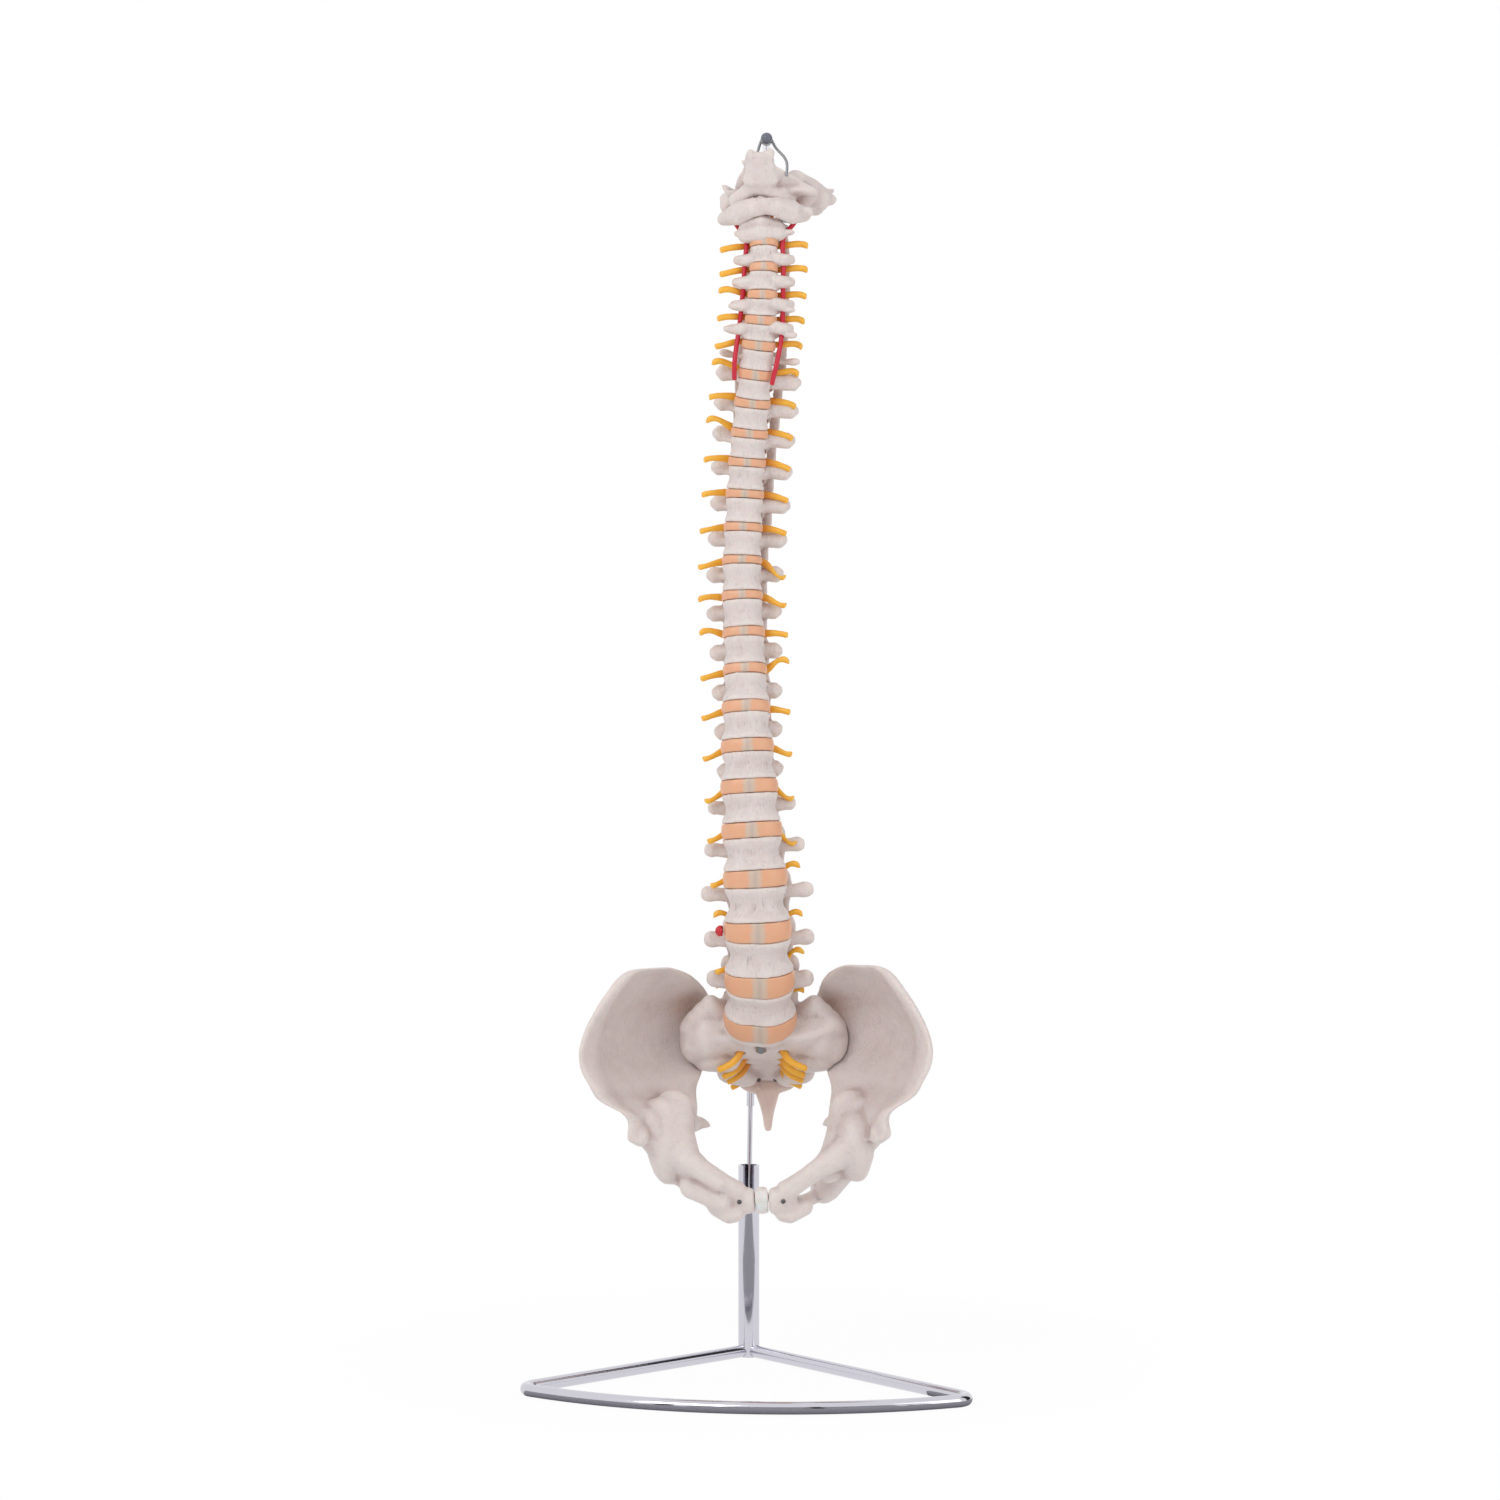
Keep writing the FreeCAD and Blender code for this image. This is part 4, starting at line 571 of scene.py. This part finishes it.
SKULL_WING = ([(32, -90, 822), (44, -80, 817), (55, -72, 813)], [(9, 7, 9.6), (9, 7, 9.4), (6.4, 5, 4.6)])
SKULL_LOWER_WING = ([(34, -84, 807), (45, -77, 806)], [(8, 6, 6), (7, 5.4, 5)])
SKULL_LEFT_LOBE = [((-14.4, -88, 808), (6, 7, 7.6))]
SKULL_FILL = [((38, -85, 817), (11, 7, 11)), ((46, -79, 812), (11, 7, 8.6))]
WING_TOP = 819
WING_ROOT = 38
WING_FADE = 12
WING_PRESS = 0.85


def pressed_wing(points):
    """Press down the upturned tip of the occipital bone's wing."""
    x, z = points[:, 0] / MM, points[:, 2] / MM
    over = np.maximum(z - WING_TOP, 0) * np.clip((x - WING_ROOT) / WING_FADE, 0, 1)
    points[:, 2] -= over * WING_PRESS * MM
    return points


# Operators, one for each group of pieces

class SPINE_OT_vertebrae(bpy.types.Operator):
    """Build the 24 vertebrae as cast bone"""

    bl_idname = "spine.vertebrae"
    bl_label = "Vertebrae"

    def execute(self, context):
        setting = looks()
        material = bone_material("Bone", setting.bone_color, setting.bone_shade, groove=1.0)
        for index, node in enumerate(VERTEBRAE):
            balls = vertebra_balls(node)
            if node == "c1_atlas":
                balls = limb(*ATLAS_FRONT, count=19)
            elif node == "c2_axis":
                balls = limb(*AXIS_BODY, count=9) + limb(*AXIS_TOP, count=7)
            make_bone(node, f"Vertebra_{node}", setting.vertebra_voxel, material, seed=index + 1,
                      balls=balls)
        return {"FINISHED"}


# Rough area beside the sacrum, and the place, depth and turn of the pelvis's middle, in millimetres

ROUGH_MIDDLE = (52, -47, 258)
ROUGH_HALF = (11.44, 18, 14)
ROUGH_STRENGTH = 1.6
PELVIS_MIDDLE = 8.9
PELVIS_DEPTH = 82
PELVIS_TURN = math.radians(4)


def hip_rough_zone(points):
    """Give the rough area of a hip bone beside the joint with the sacrum."""
    low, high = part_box("sacrum")
    places = points / MM
    places[:, 0] = np.abs(places[:, 0] - (low.x + high.x) / 2 / MM)
    away = ((places - ROUGH_MIDDLE) / ROUGH_HALF) ** 2
    return np.clip(np.exp(-away.sum(1)) * ROUGH_STRENGTH, 0, 1)


def pelvis_side(side, path):
    """Turn places given from the pelvis's middle, outwards, back and up, into the model's frame."""
    turned = []
    for out, back, up in path:
        middle = PELVIS_MIDDLE - (-back - PELVIS_DEPTH) * math.tan(PELVIS_TURN)
        turned.append((middle + side * out, back, up))
    return turned


# Fuller forms of the pelvis: places outwards, back and up, then half sizes, in millimetres

HIP_SIDE = ([(77, -101, 178), (69, -95, 166), (61, -90, 152), (53, -80, 140), (45, -70, 129)],
            [(8, 9, 10), (10, 13, 12), (10, 15, 12), (9, 14, 11), (9, 13, 9.6)])
HIP_RAMUS = ([(60, -89, 186), (57, -96, 168), (50, -104, 154), (40, -107, 146), (28, -108, 137.4)],
             [(14, 9, 14), (13, 11, 12), (10, 10, 10), (7, 8, 7.4), (6, 7, 5.6)])
HIP_FILL = ([(80, -102, 172), (70, -101, 162)], [(7, 8, 9), (8, 8, 10)])
HIP_MIDDLE = ([(68, -94, 183), (62, -97, 166), (54, -97, 153), (46, -95, 143)],
              [(13, 9, 12), (13, 12, 12), (11, 13, 11), (9, 12, 8)])
HIP_WEB = ([(48, -98, 134), (36, -101, 129), (25, -103, 124)], [(8, 8, 9), (8, 8, 8.4), (7, 8, 9)])
PUBIC_FOOT = ([(30, -97, 120), (21, -103, 115.4), (15, -104, 117)], [(7, 7, 7), (6.4, 7, 6.8), (5, 6, 7)])
SACRAL_WING = ([(24, -66, 238), (40, -64, 236), (49, -60, 231)], [(13, 16, 16), (14, 20, 20), (10, 18, 17)])
SACRAL_EDGE = ([(26, -52, 217), (40, -56, 219)], [(12, 16, 11), (11, 16, 11)])
SACRAL_KNOB = ([(31, -70, 250), (36, -75, 256), (45, -70, 246), (52, -66, 240)],
               [(10, 10, 9), (7.4, 7.4, 8), (9, 10, 8), (6, 9, 7)])
SACRAL_FOOT = ([(24, -38, 206), (15, -30, 200)], [(11, 9, 9), (9, 6, 6)])


def hip_balls(side):
    """Give the fuller lower half of one hip bone; the gap over the lower branch shows on the right."""
    balls = []
    parts = [HIP_SIDE, HIP_RAMUS, HIP_FILL, HIP_MIDDLE, PUBIC_FOOT] + ([HIP_WEB] if side < 0 else [])
    for path, halves in parts:
        balls += limb(pelvis_side(side, path), halves, count=13)
    return balls


def sacrum_balls():
    """Give the sacrum's broad wings, the knobs beside the lowest disc and its wide foot."""
    balls = []
    for side in (-1, 1):
        for path, halves in (SACRAL_WING, SACRAL_EDGE, SACRAL_KNOB, SACRAL_FOOT):
            balls += limb(pelvis_side(side, path), halves, count=7)
    return balls


def paint_joint(mesh, other, reach):
    """Paint the points that lie close to another piece, as the thin dark line of a joint."""
    tree = kdtree.KDTree(len(other.vertices))
    for index, vertex in enumerate(other.vertices):
        tree.insert(vertex.co, index)
    tree.balance()
    values = [max(0.0, 1 - tree.find(vertex.co)[2] / reach) for vertex in mesh.vertices]
    paint(mesh, "joint", values)


class SPINE_OT_pelvis(bpy.types.Operator):
    """Build the sacrum, coccyx and hip bones as cast bone, with the pad between the pubic bones"""

    bl_idname = "spine.pelvis"
    bl_label = "Pelvis"

    def execute(self, context):
        setting = looks()
        material = bone_material("Pelvis bone", setting.bone_color, setting.bone_shade, groove=0.45,
                                 rough_zone=True)
        sacrum = make_bone("sacrum", "Sacrum", setting.hip_voxel, material, seed=40, balls=sacrum_balls(),
                           more=SACRUM_ROUNDS)
        for index, node in enumerate(HIPS):
            hip = make_bone(node, f"Hip_bone_{index + 1}", setting.hip_voxel, material, seed=50 + index,
                            lump=22 * MM, zone=hip_rough_zone, balls=hip_balls(1 - 2 * index),
                            more=HIP_ROUNDS)
            paint_joint(hip.data, sacrum.data, JOINT_LINE)
        pink = bone_material("Coccyx bone", setting.coccyx_color, setting.bone_shade, groove=0.3)
        make_bone("coccyx", "Coccyx", SOFT_VOXEL, pink, seed=60)
        pad_material = soft_material("Clear pad", PAD_PALE, PAD_DEEP, mottling=0.5, flesh=0.5)
        pad = remeshed("pubic_symphysis", "Pubic_pad", FINE_VOXEL, rounds=4)
        lumps(pad.data, depth=0.8 * MM, wide=5 * MM, seed=70)
        dress(pad, pad_material, ["pubic_symphysis"])
        return {"FINISHED"}


class SPINE_OT_occiput(bpy.types.Operator):
    """Build the piece of occipital bone that carries the hanging cable"""

    bl_idname = "spine.occiput"
    bl_label = "Occipital bone"

    def execute(self, context):
        setting = looks()
        material = bone_material("Skull bone", setting.bone_color, setting.bone_shade, groove=0.3)
        balls = limb(*SKULL_BASE, count=13) + limb(*SKULL_STEM, count=7) + SKULL_BUMPS + SKULL_LEFT_LOBE
        balls += limb(*SKULL_WING, count=8) + limb(*SKULL_LOWER_WING, count=5) + SKULL_FILL
        make_bone("occiput", "Occipital_bone", setting.vertebra_voxel, material, seed=80, lump=9 * MM,
                  balls=balls, press=pressed_wing, more=OCCIPUT_ROUNDS)
        return {"FINISHED"}


def disc_across(mesh):
    """Paint each loose disc with its place across the width, 0 in the middle and 1 at the sides."""
    points = points_of(mesh)
    values = np.zeros(len(points))
    order = np.argsort(points[:, 2])
    heights = points[order, 2]
    breaks = np.where(np.diff(heights) > DISC_GAP)[0] + 1
    for group in np.split(order, breaks):
        x = points[group, 0]
        half = (x.max() - x.min()) / 2
        values[group] = np.abs(x - (x.max() + x.min()) / 2) / half
    paint(mesh, "across", values)


def disc_material():
    """Clear peach plastic with a paler band in the middle, where the cable shows through."""
    setting = looks()
    material, tree, shader = new_material("Disc")
    across = tree.painted("across")
    wave = tree.math("MULTIPLY", tree.math("SUBTRACT", tree.noise(260, 2), 0.5), 0.14)
    wavy = tree.math("ADD", across, wave)
    band = tree.range(wavy, setting.disc_band, setting.disc_band + 0.16, 1.0, 0.0)
    wire = tree.range(across, 0.02, 0.11, 1.0, 0.0)
    mould = tree.add("ShaderNodeGroup", node_tree=mould_group())
    tree.feed(tuple(setting.disc_color), mould.inputs["Color"])
    tree.feed(tuple(setting.disc_clear_color), mould.inputs["Second Color"])
    tree.feed(band, mould.inputs["Mask"])
    tree.feed(0.35, mould.inputs["Mottling"])
    color = tree.mix(tree.math("MULTIPLY", wire, 0.35), mould.outputs["Color"], DISC_CORE)
    tree.feed(color, shader.inputs["Base Color"])
    tree.feed(mould.outputs["Roughness"], shader.inputs["Roughness"])
    add_flesh(shader, weight=0.35, depth=4 * MM)
    bump(tree, mould.outputs["Height"], shader, distance=0.25 * MM, strength=0.6)
    return material


class SPINE_OT_discs(bpy.types.Operator):
    """Build the soft discs with their clear middle band, and the red nodule"""

    bl_idname = "spine.discs"
    bl_label = "Discs"

    def execute(self, context):
        material = disc_material()
        for node in DISCS:
            disc = remeshed(node, f"Soft_{node}", SOFT_VOXEL, rounds=2)
            disc_across(disc.data)
            dress(disc, material, [node])
        red = soft_material("Nodule", NODULE_RED, NODULE_DEEP, mottling=0.8, flesh=0.2)
        nodule = remeshed("disc_nodule", "Nodule", NODULE_VOXEL, rounds=3)
        lumps(nodule.data, depth=1.0 * MM, wide=3 * MM, seed=90)
        dress(nodule, red, ["disc_nodule"])
        return {"FINISHED"}


class SPINE_OT_nerves(bpy.types.Operator):
    """Build the spinal cord with its nerve roots, and the two vertebral arteries"""

    bl_idname = "spine.nerves"
    bl_label = "Nerves and arteries"

    def execute(self, context):
        setting = looks()
        material = soft_material("Nerve", setting.nerve_color, NERVE_DEEP, mottling=0.25, flesh=0.35,
                                 mask="deep")
        nerves = remeshed("spinal_cord_with_nerves", "Cord_and_nerves", SOFT_VOXEL, rounds=2)
        points = points_of(nerves.data)
        out = np.abs(points[:, 0] - spine_middle(points[:, 2])) / NERVE_REACH
        swell = np.clip(out * 3 - 0.8, 0, 1) * NERVE_SWELL
        set_points(nerves.data, points + normals_of(nerves.data) * swell[:, None])
        paint(nerves.data, "deep", np.clip(1.25 - out * 1.9, 0, 1))
        dress(nerves, material, ["spinal_cord_with_nerves"])
        red = soft_material("Artery", setting.artery_color, ARTERY_DEEP, mottling=0.5, flesh=0.15)
        arteries = remeshed("vertebral_arteries", "Arteries", FINE_VOXEL, rounds=2)
        dress(arteries, red, ["vertebral_arteries"])
        return {"FINISHED"}


# Hanging cable: its radius, and how its middle line is found and smoothed

CABLE_RADIUS = 1.04 * MM
CABLE_PIVOT = 14 * MM
CABLE_GROUPS = 26
CABLE_FOOT = 0.06
CABLE_STEP = 0.5 * MM
CABLE_ROUNDS = 30


def cable_line(node):
    """Find the middle line of the hanging cable from its CAD node: up the left leg and down the right."""
    points = points_of(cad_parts[node].data)
    arm_low, arm_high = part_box("arm_end_cap")
    centre = np.array([(arm_low.x + arm_high.x) / 2, 0, (arm_low.z + arm_high.z) / 2])
    side = points[:, 0] - centre[0]
    rise = points[:, 2] - centre[2]
    order = np.argsort(np.arctan2(side, rise + CABLE_PIVOT))
    line = [points[group].mean(0) for group in np.array_split(order, CABLE_GROUPS)]
    feet = []
    for leg in (points[side < 0], points[side > 0]):
        feet.append(leg[leg[:, 2] < np.quantile(leg[:, 2], CABLE_FOOT)].mean(0))
    return np.array([feet[0]] + line + [feet[1]])


def tube(points, radius, sides=8):
    """Give the points and faces of a round tube along a line."""
    verts, faces = [], []
    up = Vector((0, 1, 0))
    last = len(points) - 1
    for index, point in enumerate(points):
        heading = (points[min(index + 1, last)] - points[max(index - 1, 0)]).normalized()
        across = (up - heading * up.dot(heading)).normalized()
        up = across
        other = heading.cross(across)
        for step in range(sides):
            turn = 2 * math.pi * step / sides
            verts.append(point + across * (radius * math.cos(turn)) + other * (radius * math.sin(turn)))
    for index in range(last):
        for step in range(sides):
            here = index * sides + step
            beside = index * sides + (step + 1) % sides
            faces.append((here, beside, beside + sides, here + sides))
    faces.append(tuple(range(sides))[::-1])
    faces.append(tuple(last * sides + step for step in range(sides)))
    return verts, faces


def strands_along(line, count, radius, pitch):
    """Lay strands round a middle line; radius is the whole cable's."""
    strand = radius / 3
    smooth = [Vector(point) for point in line]
    fine = []
    for first, last in zip(smooth, smooth[1:]):
        steps = max(2, int((last - first).length / CABLE_STEP))
        fine += [first.lerp(last, step / steps) for step in range(steps)]
    fine.append(smooth[-1])
    fine = relax_line(fine, CABLE_ROUNDS)
    verts, faces = [], []
    up = Vector((0, 1, 0))
    frames = []
    run = 0.0
    for index, point in enumerate(fine):
        heading = (fine[min(index + 1, len(fine) - 1)] - fine[max(index - 1, 0)]).normalized()
        across = (up - heading * up.dot(heading)).normalized()
        up = across
        if index:
            run += (point - fine[index - 1]).length
        frames.append((point, across, heading.cross(across), run))
    for number in range(count + 1):
        path = []
        for point, across, other, along in frames:
            turn = 2 * math.pi * (number / count + along / pitch)
            reach = 0 if number == count else radius - strand
            path.append(point + across * (reach * math.cos(turn)) + other * (reach * math.sin(turn)))
        more_verts, more_faces = tube(path, strand, 6)
        base = len(verts)
        verts += more_verts
        faces += [tuple(base + index for index in face) for face in more_faces]
    return verts, faces


def relax_line(points, rounds):
    """Smooth a line of points but keep its ends."""
    for _ in range(rounds):
        middle = [(before + after) / 2 for before, after in zip(points, points[2:])]
        inner = [point.lerp(mean, 0.5) for point, mean in zip(points[1:-1], middle)]
        points = [points[0]] + inner + [points[-1]]
    return points


class SPINE_OT_cables(bpy.types.Operator):
    """Build the twisted hanging cable and finish the core cable, its nut and the small screws"""

    bl_idname = "spine.cables"
    bl_label = "Cables and screws"

    def execute(self, context):
        setting = looks()
        steel = metal_material("Cable steel", CABLE_STEEL, roughness=0.28)
        verts, faces = strands_along(cable_line("hanging_loop"), setting.strand_count, CABLE_RADIUS,
                                     setting.strand_pitch)
        mesh = bpy.data.meshes.new("Hanging_cable")
        mesh.from_pydata(verts, [], faces)
        mesh.update()
        dress(new_object("Hanging_cable", mesh), steel, ["hanging_loop"])
        for node in ("core_cable", "cable_nut"):
            give(node, steel)
        give("small_screws", metal_material("Screw steel", SCREW_STEEL, roughness=0.35))
        return {"FINISHED"}


def give(node, material):
    """Put a material on a CAD node that is shown as it is."""
    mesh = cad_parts[node].data
    mesh.materials.clear()
    mesh.materials.append(material)


class SPINE_OT_stand(bpy.types.Operator):
    """Finish the chrome stand with its dark plug and end cap"""

    bl_idname = "spine.stand"
    bl_label = "Stand"

    def execute(self, context):
        chrome = metal_material("Chrome", tuple(looks().chrome_color), CHROME_ROUGHNESS)
        for node in ("stand_base_frame", "stand_tube", "stand_rod"):
            give(node, chrome)
        dark, tree, shader = new_material("Dark plastic")
        shader.inputs["Base Color"].default_value = (*DARK_PLASTIC, 1)
        tree.feed(tree.range(tree.noise(400, 3), 0.3, 0.7, 0.2, 0.35), shader.inputs["Roughness"])
        for node in ("tube_foot_plug", "arm_end_cap"):
            give(node, dark)
        return {"FINISHED"}


# Stage, in metres; the focal length and the shifts are in the photograph's pixels

PHOTO_SIDE = 1500
FOCAL_LENGTH = 3653
SHIFT_RIGHT = 1.2
SHIFT_DOWN = 54.4
SENSOR = 36
CAMERA_PLACE = (0, -2.6, 0.47)
FLOOR_HALF = 20
FLOOR_SHOWN = 0.94
FLOOR_FADE = (0.2, 0.4)
WORLD_LIGHT = 0.74
# Name, place, target, width, height and power of each lamp
LAMPS = (("Key light", (-1.6, -2.6, 2.2), (0, -0.1, 0.5), 1.6, 1.6, 26),
         ("Fill light", (2.2, -2.0, 1.2), (0, -0.1, 0.4), 1.4, 2.0, 9))
# Name, place, width and shade of each upright card
CARD_HEIGHT = 4.4
CARDS = (("Left card", (-3.4, -4.9, 1.2), 0.6, 0.02),
         ("Right card", (3.6, -4.6, 1.2), 0.7, 0.03),
         ("Middle card", (0.9, -5.8, 1.2), 0.35, 0.04),
         ("Side card", (3.0, 0.9, 2.1), 2.0, 0.03),
         ("Back card", (0.2, -6.6, 1.2), 7.6, 0.5))
# Name, place, width, depth and shade of the card on the floor
FLOOR_CARD = ("Floor card", (0.0, -0.75, 0.0006), 0.9, 1.2, 0.4)


def add_light(name, place, target, width, height, power):
    """Add a soft area light that looks at a point and isn't seen itself."""
    data = bpy.data.lights.new(name, "AREA")
    data.shape = "RECTANGLE"
    data.size = width
    data.size_y = height
    data.energy = power
    light = new_object(name, data)
    light.location = place
    light.rotation_euler = (Vector(target) - Vector(place)).to_track_quat("-Z", "Y").to_euler()
    light.visible_camera = False


def add_card(name, place, width, height, shade, lying=False):
    """Add a plain card, upright or lying, that only shows as a reflection in the chrome."""
    mesh = bpy.data.meshes.new(name)
    x, z = width / 2, height / 2
    mesh.from_pydata([(-x, 0, -z), (x, 0, -z), (x, 0, z), (-x, 0, z)], [], [(0, 1, 2, 3)])
    material, _, shader = new_material(name)
    shader.inputs["Base Color"].default_value = (shade, shade, shade * 1.05, 1)
    shader.inputs["Roughness"].default_value = 1
    mesh.materials.append(material)
    card = new_object(name, mesh)
    card.location = place
    card.rotation_euler = (math.pi / 2, 0, 0) if lying else (0, 0, math.atan2(-place[0], place[1]))
    card.visible_camera = False
    card.visible_diffuse = False
    card.visible_shadow = False


def rays_to_eye(tree):
    """Give 1 for rays that the camera sends out, also by reflection or through a clear piece."""
    rays = tree.add("ShaderNodeLightPath").outputs
    beyond = tree.math("MAXIMUM", rays["Is Glossy Ray"], rays["Is Transmission Ray"])
    return tree.math("MAXIMUM", rays["Is Camera Ray"], beyond)


def studio_world():
    """White surroundings as seen and reflected, and a softer light from them on the object."""
    world = bpy.data.worlds.new("Studio")
    world.use_nodes = True
    tree = Tree(world.node_tree)
    strength = tree.range(rays_to_eye(tree), 0.0, 1.0, WORLD_LIGHT, 1.0)
    background = world.node_tree.nodes["Background"]
    background.inputs["Color"].default_value = (1, 1, 1, 1)
    tree.feed(strength, background.inputs["Strength"])
    return world


def floor_material():
    """White floor that keeps a faint contact shadow and fades to pure white away from the stand."""
    material, tree, shader = new_material("Floor")
    shader.inputs["Base Color"].default_value = (0.96, 0.96, 0.96, 1)
    shader.inputs["Roughness"].default_value = 0.9
    shader.inputs["Specular IOR Level"].default_value = 0.1
    glow = tree.add("ShaderNodeEmission", Color=(1, 1, 1), Strength=1.0)
    place = tree.add("ShaderNodeTexCoord").outputs["Object"]
    reach = tree.add("ShaderNodeVectorMath", operation="LENGTH", Vector=place).outputs["Value"]
    shown = tree.range(reach, *FLOOR_FADE, FLOOR_SHOWN, 1.0)
    both = tree.add("ShaderNodeMixShader")
    tree.feed(tree.math("MULTIPLY", rays_to_eye(tree), shown), both.inputs[0])
    tree.feed(shader.outputs[0], both.inputs[1])
    tree.feed(glow.outputs[0], both.inputs[2])
    tree.feed(both.outputs[0], material.node_tree.nodes["Material Output"].inputs["Surface"])
    return material


class SPINE_OT_stage(bpy.types.Operator):
    """Build the pale floor, the soft studio light and the camera"""

    bl_idname = "spine.stage"
    bl_label = "Stage"

    def execute(self, context):
        scene = context.scene
        scene.world = studio_world()
        scene.view_settings.view_transform = "Standard"
        mesh = bpy.data.meshes.new("Floor")
        half = FLOOR_HALF
        mesh.from_pydata([(-half, -half, 0), (half, -half, 0), (half, half, 0), (-half, half, 0)], [],
                         [(0, 1, 2, 3)])
        mesh.materials.append(floor_material())
        floor = new_object("Floor", mesh)
        for lamp in LAMPS:
            add_light(*lamp)
        for name, place, width, shade in CARDS:
            add_card(name, place, width, CARD_HEIGHT, shade)
        add_card(*FLOOR_CARD, lying=True)
        camera_data = bpy.data.cameras.new("Camera")
        camera_data.sensor_width = SENSOR
        camera_data.lens = SENSOR * FOCAL_LENGTH / PHOTO_SIDE
        camera_data.shift_x = SHIFT_RIGHT / PHOTO_SIDE
        camera_data.shift_y = -SHIFT_DOWN / PHOTO_SIDE
        camera_data.clip_end = 100
        camera = new_object("Camera", camera_data)
        camera.location = CAMERA_PLACE
        camera.rotation_euler = (math.pi / 2, 0, 0)
        scene.camera = camera
        return {"FINISHED"}


OPERATORS = (SPINE_OT_vertebrae, SPINE_OT_pelvis, SPINE_OT_occiput, SPINE_OT_discs, SPINE_OT_nerves,
             SPINE_OT_cables, SPINE_OT_stand, SPINE_OT_stage)


class SPINE_PT_panel(bpy.types.Panel):
    """List the settings and the steps of the visual model"""

    bl_label = "Spine model"
    bl_idname = "SPINE_PT_panel"
    bl_space_type = "VIEW_3D"
    bl_region_type = "UI"
    bl_category = "Spine model"

    def draw(self, context):
        setting = context.scene.spine_looks
        for name in setting.bl_rna.properties.keys():
            if name not in ("rna_type", "name"):
                self.layout.prop(setting, name)
        for operator in OPERATORS:
            self.layout.operator(operator.bl_idname)


CLASSES = (SpineLooks,) + OPERATORS + (SPINE_PT_panel,)


def register():
    """Register the classes and the settings."""
    for item in CLASSES:
        bpy.utils.register_class(item)
    bpy.types.Scene.spine_looks = bpy.props.PointerProperty(type=SpineLooks)


def unregister():
    """Remove the settings and the classes."""
    del bpy.types.Scene.spine_looks
    for item in reversed(CLASSES):
        bpy.utils.unregister_class(item)


def main():
    """Register the add-on and build the whole visual model."""
    register()
    bpy.ops.spine.vertebrae()
    bpy.ops.spine.pelvis()
    bpy.ops.spine.occiput()
    bpy.ops.spine.discs()
    bpy.ops.spine.nerves()
    bpy.ops.spine.cables()
    bpy.ops.spine.stand()
    bpy.ops.spine.stage()


if __name__ == "__main__":
    main()
